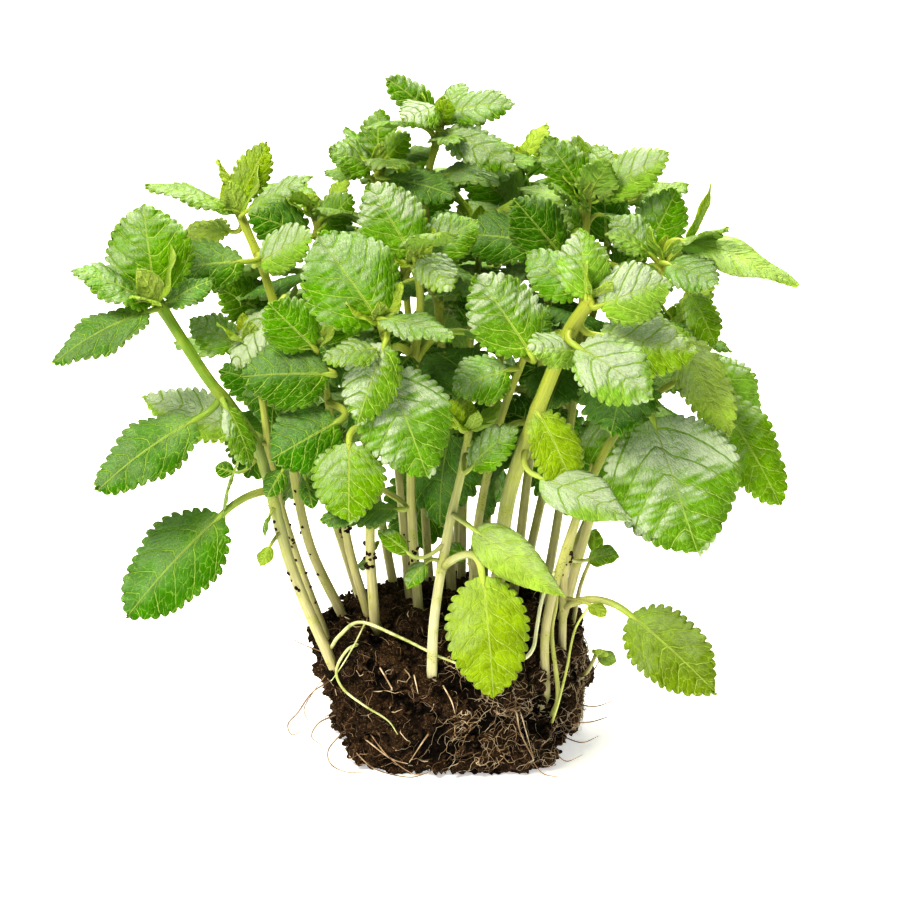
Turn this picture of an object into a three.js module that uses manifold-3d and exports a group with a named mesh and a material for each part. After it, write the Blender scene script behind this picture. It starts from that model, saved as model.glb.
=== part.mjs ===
// A clump of young lemon balm (Melissa officinalis) lifted out of its pot, standing on its bare
// root ball. Millimetres, +Z up, +Y towards the back; the origin is the middle of the flat
// underside of the root ball.
//
// Every leafy stem is one solid: a square stem with its opposite pairs of toothed leaves, whose
// petioles are sunk into it. The stems, the seedlings and the surface roots stand in plain holes
// in the root ball. A leaf that would touch a neighbour is bent clear of it.
import * as THREE from 'three';
import { mergeVertices } from 'three/addons/utils/BufferGeometryUtils.js';
import Module from 'manifold-3d';

const wasm = await Module();
wasm.setup();

// ---- driving dimensions ------------------------------------------------------------------------

const BALL = { halfWidth: 39, halfDepth: 36, height: 41, squareness: 2.8, aroundSteps: 24 };
const HOLE_GAP = 0.45; // round every stem that stands in the soil
const BURIED = 9; // how deep a stem goes into the soil
const HOLE_RISE = 14; // how far above the foot the hole still runs, through any lump

const STEM_SIDES = 4; // the mint family has square stems
const STEM_TAPER = 0.62; // head radius as a share of the foot radius
const STEM_STEP = 24; // length of one straight stretch of a stem

const PETIOLE_RADIUS = 1;
const ROOT_OUT = 0.25; // a petiole starts this share of the stem's radius off its middle
const RIB_THICKNESS = 1.7; // a blade is this thick along its midrib and thins to its rim
const TOOTH_PITCH = 6.5; // along the midrib of a leaf set by hand
const GROWN_PITCH = 7; // and of one grown by rule
const TOOTH_DEPTH = 0.09; // of the blade's half width, in and out
const HEART = 0.07; // how far the basal lobes sweep back, as a share of the blade's length
const COLLAR = 0.04; // the petiole ends this share of the blade's length behind the lobes
const FOLD = 0.3; // rise of a blade's halves from the midrib
const CURL = 0.42; // droop of the rims

const SEED_LEAF = { teeth: 2, bow: 0.2, petiole: 0.7 }; // seed leaves and leaflets are round and small

const BLADE_REACH = 1.6; // kept free round every sample point of a blade
const PETIOLE_REACH = 1.3; // and of a petiole
const OWN_SHARE = 0.75; // of these between the outer parts of two leaves of one stem
const FLOOR_CLEAR = 4;
const FUSE_TOLERANCE = 0.06; // edges shorter than this, left by fusing, are closed up

const BEND_STEP = 8; // degrees
const MOST_BENDS = 6;
const SHRINKS = [1, 0.86, 0.72];

// ---- small helpers -----------------------------------------------------------------------------

const v = (x, y, z) => new THREE.Vector3(x, y, z);
const vec = (list) => new THREE.Vector3(...list);
const radians = (degrees) => (degrees * Math.PI) / 180;
const mix = (a, b, t) => a + (b - a) * t;

// The Park-Miller generator: the same draws on every run.
function draws(seed) {
  let state = seed;
  return (low, high) => {
    state = (state * 16807) % 2147483647;
    return mix(low, high, state / 2147483647);
  };
}

function meshOf(points, faces) {
  const geometry = new THREE.BufferGeometry();
  const places = points.flatMap((p) => [p.x, p.y, p.z]);
  geometry.setAttribute('position', new THREE.Float32BufferAttribute(places, 3));
  geometry.setIndex(faces.flat());
  return geometry;
}

function solidOf(geometry) {
  const bare = geometry.clone();
  bare.deleteAttribute('normal');
  bare.deleteAttribute('uv');
  const merged = mergeVertices(bare, 1e-4);
  const vertProperties = new Float32Array(merged.attributes.position.array);
  const triVerts = new Uint32Array(merged.index.array);
  return new wasm.Manifold(new wasm.Mesh({ numProp: 3, vertProperties, triVerts }));
}

function geometryOf(solid) {
  const mesh = solid.getMesh();
  const geometry = new THREE.BufferGeometry();
  geometry.setAttribute('position', new THREE.Float32BufferAttribute(mesh.vertProperties, 3));
  geometry.setIndex(new THREE.BufferAttribute(mesh.triVerts, 1));
  return geometry;
}

// A smooth curve through the points: the uniform Catmull-Rom of three.js.
function through(points) {
  const vectors = points.map((p) => (p.isVector3 ? p : vec(p)));
  return new THREE.CatmullRomCurve3(vectors, false, 'catmullrom', 0.5);
}

// The frames along a run of points: each normal is the last one turned as little as possible.
function framesAlong(points, firstNormal) {
  let normal = firstNormal.clone();
  return points.map((p, i) => {
    const ahead = points[Math.min(i + 1, points.length - 1)];
    const behind = points[Math.max(i - 1, 0)];
    const forward = ahead.clone().sub(behind).normalize();
    normal = normal.clone().addScaledVector(forward, -normal.dot(forward)).normalize();
    return { forward, normal, side: forward.clone().cross(normal) };
  });
}

// A closed tube round a run of points, tapering from one radius to the other.
function tube(points, startRadius, endRadius, sides) {
  const frames = framesAlong(points, v(1, 0, 0));
  const ring = [];
  points.forEach((p, i) => {
    const radius = mix(startRadius, endRadius, i / (points.length - 1));
    for (let k = 0; k < sides; k++) {
      const turn = (2 * Math.PI * (k + 0.5)) / sides;
      ring.push(p.clone()
        .addScaledVector(frames[i].normal, radius * Math.cos(turn))
        .addScaledVector(frames[i].side, radius * Math.sin(turn)));
    }
  });
  const faces = [];
  const last = (points.length - 1) * sides;
  for (let i = 0; i < points.length - 1; i++) {
    for (let k = 0; k < sides; k++) {
      const a = i * sides + k;
      const b = i * sides + ((k + 1) % sides);
      faces.push([a, b, a + sides], [b, b + sides, a + sides]);
    }
  }
  for (let k = 1; k < sides - 1; k++) {
    faces.push([0, k + 1, k], [last, last + k, last + k + 1]);
  }
  return meshOf(ring, faces);
}

// ---- root ball ---------------------------------------------------------------------------------

// Profile of the ball from the middle of its underside to the middle of its top: share of the
// full radius, and height.
const BALL_PROFILE = [[0, 0], [0.85, 0], [0.95, 4], [0.97, 13], [0.99, 22], [1.0, 31], [0.95, 37],
  [0.76, 40.5], [0.4, 42], [0, 41]];

// The clod that stands out at the left of the ball, as shares of the radius and in height.
const CLOD = { reach: 0.2, spread: 0.3, height: 32, thickness: 7 };

function ballRadius(turn) {
  const across = Math.abs(Math.cos(turn) / BALL.halfWidth) ** BALL.squareness;
  const deep = Math.abs(Math.sin(turn) / BALL.halfDepth) ** BALL.squareness;
  return (across + deep) ** (-1 / BALL.squareness);
}

// The lumps of the crumbled soil, as a share of the radius and in height.
function lump(turn, height) {
  const clod = CLOD.reach * Math.exp(-(((Math.abs(turn) - Math.PI) / CLOD.spread) ** 2))
    * Math.exp(-(((height - CLOD.height) / CLOD.thickness) ** 2));
  return clod + 0.03 * Math.sin(3 * turn + 0.09 * height) + 0.03 * Math.sin(5 * turn - 0.21 * height + 1.3)
    + 0.028 * Math.sin(8 * turn + 0.35 * height + 0.4) + 0.02 * Math.sin(11 * turn - 0.5 * height);
}

function ballPoint(turn, share, height) {
  const radius = ballRadius(turn) * share * (1 + lump(turn, height));
  const x = radius * Math.cos(turn);
  const y = radius * Math.sin(turn);
  const top = height > 30 ? 1.3 * Math.sin(0.16 * x + 0.5) * Math.cos(0.19 * y) : 0;
  return v(x, y, height + top);
}

// A point on the ball's skin, lifted off it: along is 0 in the middle of the underside and 1 in
// the middle of the top.
function onBall(degrees, along, lift) {
  const place = along * (BALL_PROFILE.length - 1);
  const i = Math.min(Math.floor(place), BALL_PROFILE.length - 2);
  const [shareA, heightA] = BALL_PROFILE[i];
  const [shareB, heightB] = BALL_PROFILE[i + 1];
  const t = place - i;
  const p = ballPoint(radians(degrees), mix(shareA, shareB, t), mix(heightA, heightB, t));
  const middle = v(0, 0, BALL.height / 2);
  return p.clone().addScaledVector(p.clone().sub(middle).normalize(), lift);
}

function ballSolid() {
  const profile = BALL_PROFILE.map(([share, height]) => new THREE.Vector2(share, height));
  const lathe = new THREE.LatheGeometry(profile, BALL.aroundSteps);
  lathe.rotateX(Math.PI / 2); // the lathe turns about Y
  const place = lathe.attributes.position;
  for (let i = 0; i < place.count; i++) {
    const turn = Math.atan2(place.getY(i), place.getX(i));
    const p = ballPoint(turn, Math.hypot(place.getX(i), place.getY(i)), place.getZ(i));
    place.setXYZ(i, p.x, p.y, p.z);
  }
  return solidOf(lathe);
}

// ---- stems -------------------------------------------------------------------------------------

// The buried stretch runs straight on below the foot.
function stemPoints(path, buried) {
  const curve = through(path);
  const steps = Math.max(3, Math.round(curve.getLength() / STEM_STEP));
  const points = Array.from({ length: steps + 1 }, (_, i) => curve.getPoint(i / steps));
  const down = points[0].clone().sub(points[1]).normalize();
  return [points[0].clone().addScaledVector(down, buried), ...points];
}

function stemSolid(stem) {
  return solidOf(tube(stemPoints(stem.path, BURIED), stem.radius, stem.radius * STEM_TAPER, STEM_SIDES));
}

function holeSolid(path, radius, depth) {
  const [, foot, next] = stemPoints(path, depth);
  const up = next.clone().sub(foot).normalize();
  const low = foot.clone().addScaledVector(up, -depth - HOLE_GAP);
  const high = foot.clone().addScaledVector(up, HOLE_RISE);
  return solidOf(tube([low, high], radius + HOLE_GAP, radius + HOLE_GAP, STEM_SIDES));
}

// ---- leaves ------------------------------------------------------------------------------------

// A leaf has the root of its petiole, the knee where the blade begins, its tip, an up direction
// that its face looks along, and the blade's width.
function leaf(root, knee, tip, up, width, extra = {}) {
  return { root, knee, tip, up: up.clone().normalize(), width, bow: 0.13, fold: FOLD, curl: CURL, ...extra };
}

const bladeLength = (l) => l.knee.distanceTo(l.tip);

// Half the blade's width at a share t of its length: broad near the base, round at the end.
const halfWidth = (l, t) => (0.5 * l.width * Math.sqrt(t) * (1 - t) ** 0.72) / 0.4372;

// The midrib's frame at t: an arch from knee to tip, bowed towards up.
function ribFrame(l, t) {
  const middle = l.knee.clone().add(l.tip).multiplyScalar(0.5).addScaledVector(l.up, l.bow * bladeLength(l));
  const centre = l.knee.clone().multiplyScalar((1 - t) ** 2)
    .addScaledVector(middle, 2 * t * (1 - t))
    .addScaledVector(l.tip, t * t);
  const forward = middle.clone().sub(l.knee).multiplyScalar(1 - t)
    .addScaledVector(l.tip.clone().sub(middle), t)
    .normalize();
  const side = forward.clone().cross(l.up).normalize();
  return { centre, forward, side, normal: side.clone().cross(forward) };
}

// A point of the blade: t from base to tip, u from the left rim at -1 to the right rim at 1.
function bladePoint(l, t, u, reach = 1) {
  const frame = ribFrame(l, t - HEART * u * u * (1 - t) ** 3);
  const across = halfWidth(l, t) * reach * u;
  const lift = Math.abs(across) * (l.fold - l.curl * Math.abs(u));
  return frame.centre.addScaledVector(frame.side, across).addScaledVector(frame.normal, lift);
}

const teethOf = (l) => l.teeth ?? Math.min(5, Math.max(2, Math.round(bladeLength(l) / TOOTH_PITCH)));

// The petiole's centre line, from inside the stem to the blade, which it meets in line.
function petiolePoints(l, steps) {
  const end = ribFrame(l, -HEART - COLLAR);
  const reach = 0.55 * l.root.distanceTo(end.centre);
  const bend = end.centre.clone().addScaledVector(end.forward, -reach);
  const curve = new THREE.QuadraticBezierCurve3(l.root, bend, end.centre);
  return Array.from({ length: steps + 1 }, (_, i) => curve.getPoint(i / steps));
}

// One closed solid of petiole and blade. The petiole is channelled, with three corners: over,
// right and left. The blade has a fourth, under, and its right and left run out to the toothed rim.
function leafSolid(l) {
  const points = [];
  const faces = [];
  const add = (p) => points.push(p) - 1;
  const petioleSteps = l.root.distanceTo(l.knee) > 6 ? 2 : 1;
  const spine = petiolePoints(l, petioleSteps);
  const end = ribFrame(l, -HEART - COLLAR);
  const frames = framesAlong([...spine].reverse(), end.normal).reverse();
  const lines = { over: [], under: [], right: [], left: [] };
  const radius = l.petiole ?? PETIOLE_RADIUS;

  spine.forEach((p, i) => {
    const { normal, forward } = frames[i];
    const side = (i === petioleSteps ? end.forward : forward.clone().negate()).clone().cross(normal);
    lines.over.push([-1, add(p.clone().addScaledVector(normal, radius))]);
    if (i === petioleSteps) lines.under.push([-1, add(p.clone().addScaledVector(normal, -radius))]);
    lines.right.push([-1, add(p.clone().addScaledVector(side, radius))]);
    lines.left.push([-1, add(p.clone().addScaledVector(side, -radius))]);
  });

  const teeth = teethOf(l);
  const ribSteps = teeth > 3 ? 3 : 2;
  for (let i = 1; i < ribSteps; i++) {
    const t = i / ribSteps;
    const { centre, normal } = ribFrame(l, t);
    const half = 0.5 * RIB_THICKNESS * (1 - 0.5 * t);
    lines.over.push([t, add(centre.clone().addScaledVector(normal, half))]);
    lines.under.push([t, add(centre.clone().addScaledVector(normal, -half))]);
  }
  for (const [line, u] of [[lines.right, 1], [lines.left, -1]]) {
    for (let k = 0; k < teeth; k++) {
      const start = k / teeth;
      if (k > 0) line.push([start, add(bladePoint(l, start, u, 1 - TOOTH_DEPTH))]);
      const point = start + 0.62 / teeth;
      line.push([point, add(bladePoint(l, point, u, 1 + TOOTH_DEPTH))]);
    }
  }
  const apex = [1, add(l.tip.clone())];
  Object.values(lines).forEach((line) => line.push(apex));

  // The skin between two neighbouring lines, each corner taken in the order of its place.
  const strip = (inner, outer, flipped) => {
    const face = (a, b, c) => faces.push(flipped ? [a, c, b] : [a, b, c]);
    let i = 0;
    let j = 0;
    while (i < inner.length - 1 || j < outer.length - 1) {
      const innerNext = i < inner.length - 1 ? inner[i + 1][0] : 2;
      const outerNext = j < outer.length - 1 ? outer[j + 1][0] : 2;
      if (innerNext < outerNext || (innerNext === outerNext && i < j)) {
        face(inner[i][1], outer[j][1], inner[i + 1][1]);
        i++;
      } else {
        if (outer[j + 1][1] !== inner[i][1]) face(inner[i][1], outer[j][1], outer[j + 1][1]);
        j++;
      }
    }
  };
  const bladeOnly = (line) => line.slice(petioleSteps);
  strip(lines.over, lines.right, false);
  strip(lines.over, lines.left, true);
  strip(lines.under, bladeOnly(lines.right), true);
  strip(lines.under, bladeOnly(lines.left), false);
  const [right, left] = [lines.right, lines.left].map((line) => line.map(([, corner]) => corner));
  const under = lines.under[0][1];
  for (let i = 0; i < petioleSteps; i++) {
    const last = i === petioleSteps - 1;
    faces.push([right[i], left[i], last ? under : left[i + 1]]);
    faces.push([right[i], last ? under : left[i + 1], right[i + 1]]);
    if (last) faces.push([left[i], left[i + 1], under]);
  }
  faces.push([lines.over[0][1], left[0], right[0]]);
  return solidOf(meshOf(points, faces));
}

// ---- bending clear of the neighbours -------------------------------------------------------------

// What already stands, as sample points with a free radius and an owner, sorted into cells.
const CELL = 4.5;
const taken = new Map();
const cellOf = (value) => Math.floor(value / CELL) + 100;

function take(samples, owner) {
  for (const [p, reach, outer] of samples) {
    const key = (cellOf(p.x) * 1000 + cellOf(p.y)) * 1000 + cellOf(p.z);
    if (!taken.has(key)) taken.set(key, []);
    taken.get(key).push([p, reach, outer, owner]);
  }
}

// Leaves of one stem meet near their roots, and only their outer parts are kept apart.
function meets([p, reach, outer], owner) {
  for (let i = cellOf(p.x) - 1; i <= cellOf(p.x) + 1; i++) {
    for (let j = cellOf(p.y) - 1; j <= cellOf(p.y) + 1; j++) {
      for (let k = cellOf(p.z) - 1; k <= cellOf(p.z) + 1; k++) {
        for (const [q, otherReach, otherOuter, holder] of taken.get((i * 1000 + j) * 1000 + k) ?? []) {
          const share = holder !== owner ? 1 : outer && otherOuter ? OWN_SHARE : 0;
          if (p.distanceTo(q) < (reach + otherReach) * share) return true;
        }
      }
    }
  }
  return false;
}

function blocked(sample, owner) {
  const [p] = sample;
  if (p.z < FLOOR_CLEAR) return true;
  const turn = Math.atan2(p.y, p.x);
  if (p.z < BALL.height + 4 && Math.hypot(p.x, p.y) < ballRadius(turn) * 1.1 + 1) return true;
  return meets(sample, owner);
}

function stemSamples(stem) {
  const curve = through(stem.path);
  const steps = Math.ceil(curve.getLength() / 2);
  return Array.from({ length: steps + 1 }, (_, i) => [curve.getPoint(i / steps), stem.radius, false]);
}

function bladeSamples(l) {
  const rows = Math.ceil(bladeLength(l) / 2.6);
  const columns = Math.max(1, Math.ceil(l.width / 5.2));
  const samples = [];
  for (let i = 0; i <= rows; i++) {
    for (let k = -columns; k <= columns; k++) {
      samples.push([bladePoint(l, Math.max(0.03, i / rows), k / columns), BLADE_REACH, i / rows > 0.3]);
    }
  }
  return samples;
}

// The petiole, without the stretch that lies in its own stem.
function petioleSamples(l) {
  const steps = Math.max(2, Math.ceil(l.root.distanceTo(l.knee) / 2.5));
  return petiolePoints(l, steps).slice(1).map((p) => [p, PETIOLE_REACH, false]);
}

// The leaf turned about its root by three angles, and made smaller.
function bent(l, yaw, pitch, roll, size) {
  const level = v(l.root.y - l.tip.y, l.tip.x - l.root.x, 0).normalize();
  const move = (p) => p.clone().sub(l.root).multiplyScalar(size)
    .applyAxisAngle(level, pitch)
    .applyAxisAngle(v(0, 0, 1), yaw)
    .add(l.root);
  const knee = move(l.knee);
  const tip = move(l.tip);
  const up = l.up.clone()
    .applyAxisAngle(level, pitch)
    .applyAxisAngle(v(0, 0, 1), yaw)
    .applyAxisAngle(tip.clone().sub(knee).normalize(), roll);
  return { ...l, knee, tip, up, width: l.width * size };
}

// Every way to bend, the smallest first, and those about fewer axes before the others.
const BENDS = [[0, 0, 0, 0]];
for (let k = 1; k <= MOST_BENDS; k++) {
  for (const axes of [1, 2, 3]) {
    for (const yaw of [-k, 0, k]) {
      for (const pitch of [-k, 0, k]) {
        for (const roll of [-k, 0, k]) {
          if ((yaw !== 0) + (pitch !== 0) + (roll !== 0) === axes) BENDS.push([yaw, pitch, roll, k]);
        }
      }
    }
  }
}

// The leaf, bent as little as keeps it clear, or nothing where no bend does.
function placed(l, owner) {
  for (const size of SHRINKS) {
    for (const [yaw, pitch, roll] of BENDS) {
      const turn = radians(BEND_STEP);
      const candidate = bent(l, yaw * turn, pitch * turn, roll * turn, size);
      const samples = [...petioleSamples(candidate), ...bladeSamples(candidate)];
      if (!samples.some((sample) => blocked(sample, owner))) {
        take(samples, owner);
        return candidate;
      }
    }
  }
  return null;
}

// ---- the leafy stems -------------------------------------------------------------------------------

// A leaf set by hand: where its blade begins, its tip, what its face looks towards and its width.
function blade(knee, tip, up, width, extra = {}) {
  return { knee: vec(knee), tip: vec(tip), up: vec(up), width, extra };
}

// Each stem has the path of its middle from the soil to its head, its own leaves, and the pairs
// that it grows by rule: from a share of its height, so many nodes, the compass turn of the first
// pair, the length of its longest blade, and whether the head ends in a tuft of young leaves.
const STEMS = {
  stem_01: {
    radius: 1.8, path: [[-35, -20, 26], [-48, -28, 64], [-57, -36, 104], [-71, -40, 127], [-84, -38, 148]],
    leaves: [
      blade([-85, -36, 151], [-88, -30, 174], [0, -1, 0.3], 25),
      blade([-87, -40, 149], [-107, -46, 159], [0, -0.4, 1], 16),
      blade([-88, -44, 146], [-112, -52, 134], [-0.3, -0.5, 0.8], 17),
      blade([-81, -36, 147], [-69, -30, 152], [0, -0.5, 1], 11),
      blade([-85, -43, 149], [-91, -51, 153], [-0.4, -0.6, 0.9], 8),
      blade([-76, -42, 113], [-101, -54, 97], [-0.2, -0.7, 0.7], 20),
      blade([-64, -46, 118], [-58, -49, 102], [0.9, -0.6, 0.1], 12),
      blade([-64, -22, 106], [-92, -8, 110], [0.1, -1, 0.4], 15),
      blade([-64, -40, 98], [-68.5, -42, 100], [-0.3, -1, 0.4], 5, SEED_LEAF),
      blade([-54, -36, 83], [-55, -39, 78], [-1, -0.4, 0.2], 4, SEED_LEAF),
      blade([-54, -38, 74], [-56, -42, 70], [-0.4, -1, 0.2], 5, SEED_LEAF),
    ],
  },
  stem_02: {
    radius: 1.8,
    path: [[-34, -1, 38], [-44, -9, 66], [-49, -12, 99], [-51, -8, 128], [-56, -5, 148], [-63, -2, 165]],
    leaves: [
      blade([-66, -4, 167], [-89, -12, 175], [0, -0.3, 1], 12),
      blade([-63, 0, 169], [-55, 6, 184], [0.3, -1, 0.4], 11),
      blade([-59, -8, 168], [-41, -12, 178], [0, -0.5, 1], 9),
      blade([-67, 0, 159], [-81, 6, 157], [0, -0.6, 1], 11),
      blade([-61, -17, 154], [-83, -27, 152], [-0.1, -0.8, 0.6], 17),
      blade([-53, -24, 139], [-62, -33, 123], [-0.6, -0.8, 0.3], 14),
      blade([-56, -12, 153], [-41, -20, 163], [0.1, -0.8, 0.6], 14),
      blade([-64, 4, 168], [-70, 10, 178], [0, 0.4, 1], 8),
      blade([-51, -18, 126], [-56, -23, 106], [-0.2, -0.9, 0.4], 20),
      blade([-50, -38, 97], [-54, -42, 91], [0, -1, 0.5], 7, SEED_LEAF),
      blade([-43, -36, 94], [-41, -41, 87], [0.2, -1, 0.3], 6, SEED_LEAF),
    ],
    grown: { from: 0.6, nodes: 1, turn: 110, length: 26 },
  },
  stem_03: {
    radius: 1.7, path: [[-37, -12, 30], [-47, -16, 62], [-53, -22, 89], [-56, -24, 115], [-59, -26, 133]],
    leaves: [
      blade([-70, -35, 81], [-95, -44, 55], [-0.3, -0.85, 0.4], 25),
      blade([-64, -30, 100], [-72, -36, 84], [-1, 0, 0.3], 7),
      blade([-64, -24, 132], [-76, -24, 140], [-0.2, -0.7, 0.8], 13),
    ],
  },
  stem_04: {
    radius: 1.9, path: [[-24, -16, 42], [-25, -26, 72], [-23, -42, 108], [-19, -52, 135], [-21, -56, 148]],
    leaves: [
      blade([-22, -58, 149], [-38, -50, 170], [-0.1, -0.8, 0.6], 28),
      blade([-19, -60, 149], [-1, -70, 146], [0.2, -0.4, 0.95], 13),
      blade([-22, -62, 141], [-36, -67, 139], [-0.1, -0.5, 0.9], 11),
      blade([-20, -62, 141], [-27, -67, 121], [-0.1, -1, 0.3], 16),
      blade([-18, -58, 132], [-6, -64, 105], [0.25, -0.85, 0.45], 27),
      blade([-30, -52, 109], [-30, -58, 89], [0, -0.9, 0.4], 21),
      blade([-18, -44, 88], [-38, -49, 86], [0, -0.3, 1], 14),
    ],
  },
  stem_05: {
    radius: 1.6, path: [[-26, -7, 40], [-32, -15, 68], [-35, -27, 101], [-37, -34, 121], [-40, -36, 134]],
    leaves: [
      blade([-35, -43, 114], [-53, -50, 108], [-0.1, -0.85, 0.5], 21),
      blade([-38, -40, 127], [-61, -40, 124], [-0.2, -0.8, 0.5], 21),
      blade([-41, -40, 136], [-52, -48, 150], [-0.3, -0.9, 0.5], 16),
      blade([-38, -32, 136], [-28, -24, 146], [0.3, -0.6, 0.8], 16),
    ],
  },
  stem_06: {
    radius: 2, path: [[-7, -32, 30], [-6, -38, 53], [-2, -37, 79], [2, -38, 98], [4, -40, 111]],
    leaves: [
      blade([8, -52, 68], [11, -59, 36], [0.1, -0.97, 0.2], 24),
      blade([7, -48, 82], [31, -57, 66], [-0.3, -0.8, 0.55], 14),
      blade([-14, -46, 78], [-21, -48, 86], [0, -0.7, 0.7], 6, SEED_LEAF),
      blade([6, -46, 102], [18, -42, 113], [-0.3, -0.9, 0.5], 12),
      blade([1, -42, 112], [-4, -46, 122], [-0.3, -0.9, 0.4], 8),
      blade([-9, -41, 70], [-14, -44, 64], [-0.3, -0.9, 0.4], 6, SEED_LEAF),
    ],
  },
  stem_07: {
    radius: 2.6,
    path: [[12, -8, 41], [15, -28, 83], [21, -42, 110], [27, -50, 130], [32, -54, 144], [38, -55, 154]],
    leaves: [
      blade([36, -56, 155], [34, -52, 172], [0.1, -1, 0.3], 15),
      blade([41, -58, 153], [58, -53, 161], [0.2, -0.8, 0.6], 18),
      blade([42, -53, 142], [67, -50, 136], [0.1, -0.8, 0.6], 20),
      blade([32, -61, 140], [20, -70, 143], [-0.1, -0.7, 0.7], 13),
      blade([35, -63, 141], [54, -69, 129], [0.2, -0.85, 0.55], 20),
      blade([26, -50, 99], [50, -57, 89], [0.1, -0.75, 0.65], 16),
      blade([24, -48, 117], [38, -49, 94], [0.2, -0.95, 0.2], 15),
      blade([34, -50, 154], [20, -44, 163], [-0.2, -0.7, 0.7], 15),
    ],
  },
  stem_08: {
    radius: 1.8, path: [[27, 3, 41], [32, 4, 74], [36, 2, 113], [38, 4, 143], [39, 6, 166]],
    leaves: [
      blade([38, 6, 168], [26, 8, 185], [0.3, -0.85, 0.5], 15),
      blade([43, 4, 170], [62, 0, 182], [0.1, -0.8, 0.6], 14),
      blade([56, 4, 152], [65, 6, 170], [0.2, -1, 0.3], 17),
      blade([40, 10, 169], [44, 22, 180], [0, 0.4, 1], 11),
      blade([36, 0, 167], [28, -10, 175], [-0.3, -0.6, 0.8], 11),
    ],
    grown: { from: 0.5, nodes: 2, turn: 60, length: 28 },
  },
  stem_09: {
    radius: 1.7, path: [[32, -10, 40], [40, -14, 74], [51, -16, 112], [57, -14, 139], [61, -12, 153]],
    leaves: [
      blade([68, -14, 159], [99, -18, 147], [0.3, -0.5, 0.8], 15),
      blade([68, -9, 159], [74, -8, 175], [1, -0.5, 0.2], 7),
      blade([63, -20, 154], [77, -28, 151], [0.2, -0.7, 0.7], 14),
      blade([69, -12, 142], [76, -14, 128], [0.3, -0.9, 0.3], 11),
      blade([56, -8, 155], [46, -2, 164], [-0.2, -0.6, 0.8], 13),
    ],
    grown: { from: 0.5, nodes: 2, turn: 75, length: 27 },
  },
  stem_10: {
    radius: 1.7,
    path: [[27, -28, 24], [27, -33, 50], [35, -32, 80], [45, -30, 104], [56, -28, 116], [67, -24, 122]],
    leaves: [
      blade([57, -42, 112], [69, -53, 78], [-0.1, -0.9, 0.45], 39),
      blade([77, -22, 113], [95, -26, 83], [0.3, -0.85, 0.4], 20),
      blade([76, -16, 122], [89, -12, 102], [0.2, -0.9, 0.4], 17),
      blade([65, -29, 133], [79, -37, 108], [0.1, -0.95, 0.3], 15),
      blade([68, -20, 126], [64, -10, 138], [0.2, -0.4, 0.9], 12),
    ],
  },
  stem_11: {
    radius: 1.5, path: [[32, -22, 26], [32, -26, 48], [33, -25, 66], [40, -21, 92], [47, -19, 120]],
    leaves: [
      blade([53, -36, 51], [76, -43, 31], [0, -0.8, 0.6], 22),
      blade([45, -19, 110], [49, -24, 88], [0.1, -1, 0.3], 20),
      blade([40, -32, 54], [44, -36, 52], [0.2, -0.7, 0.7], 5, SEED_LEAF),
      blade([40, -20, 64], [46, -22, 66], [0.1, -0.8, 0.6], 6, SEED_LEAF),
    ],
  },
  stem_12: {
    radius: 1.6, path: [[-14, 8, 41], [-17, 10, 79], [-21, 14, 125], [-22, 16, 155], [-23, 16, 175]],
    leaves: [
      blade([-25, 13, 176], [-37, 9, 181], [-0.1, -0.8, 0.8], 13),
      blade([-23, 17, 177], [-23, 20, 191], [0.1, -1, 0.2], 12),
      blade([-21, 15, 177], [-12, 12, 186], [0.2, -0.7, 0.6], 9),
      blade([-19, 7, 173], [0, -3, 170], [0.1, -0.7, 0.7], 14),
      blade([-25, 20, 176], [-33, 27, 184], [-0.1, 0.3, 1], 8),
    ],
    grown: { from: 0.55, nodes: 2, turn: 20, length: 31 },
  },
  stem_13: {
    radius: 1.9, path: [[-1, 12, 41], [-3, 14, 87], [-5, 14, 134], [-9, 12, 165], [-4, 10, 189]],
    leaves: [
      blade([-6, 10, 191], [-20, 6, 203], [-0.1, -0.7, 0.7], 11),
      blade([-1, 8, 193], [17, 4, 196], [0, -0.7, 0.7], 12),
      blade([-4, 6, 191], [-2, 0, 198], [0, -0.9, 0.2], 6, SEED_LEAF),
      blade([-2, 4, 188], [19, -4, 182], [0.1, -0.7, 0.7], 13),
      blade([-6, 3, 195], [-15, -7, 193], [-0.3, -0.9, 0.5], 12),
      blade([-4, 14, 190], [2, 26, 198], [0, 0.4, 1], 11),
    ],
    grown: { from: 0.5, nodes: 3, turn: 55, length: 32 },
  },
  stem_14: {
    radius: 1.8, path: [[-11, -8, 42], [-13, -12, 80], [-12, -22, 120], [-10, -28, 146], [-12, -32, 158]],
    leaves: [
      blade([-13, -35, 162], [-24, -30, 180], [-0.2, -0.85, 0.5], 19),
      blade([-9, -36, 160], [-1, -45, 153], [0.1, -0.8, 0.6], 12),
      blade([-8, -30, 160], [6, -24, 168], [0.2, -0.7, 0.7], 15),
      blade([-15, -28, 160], [-28, -18, 164], [-0.2, -0.3, 1], 15),
    ],
    grown: { from: 0.55, nodes: 2, turn: 10, length: 33 },
  },
  stem_15: {
    radius: 1.7, path: [[5, -5, 42], [7, -14, 74], [13, -30, 110], [20, -41, 134]],
    leaves: [
      blade([20, -47, 137], [6, -43, 157], [-0.1, -0.85, 0.5], 21),
      blade([14, -42, 128], [0, -48, 122], [-0.2, -0.8, 0.5], 16),
      blade([17, -38, 136], [26, -30, 144], [0.3, -0.3, 0.9], 13),
    ],
    grown: { from: 0.6, nodes: 1, turn: 170, length: 30 },
  },
  stem_16: {
    radius: 1.7, path: [[2, 22, 41], [3, 22, 84], [5, 18, 124], [8, 14, 155]],
    leaves: [],
    grown: { from: 0.5, nodes: 3, turn: 80, length: 34, tuft: true },
  },
  stem_17: {
    radius: 1.8, path: [[18, 8, 42], [23, 8, 89], [27, 4, 128], [28, 0, 151]],
    leaves: [
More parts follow.
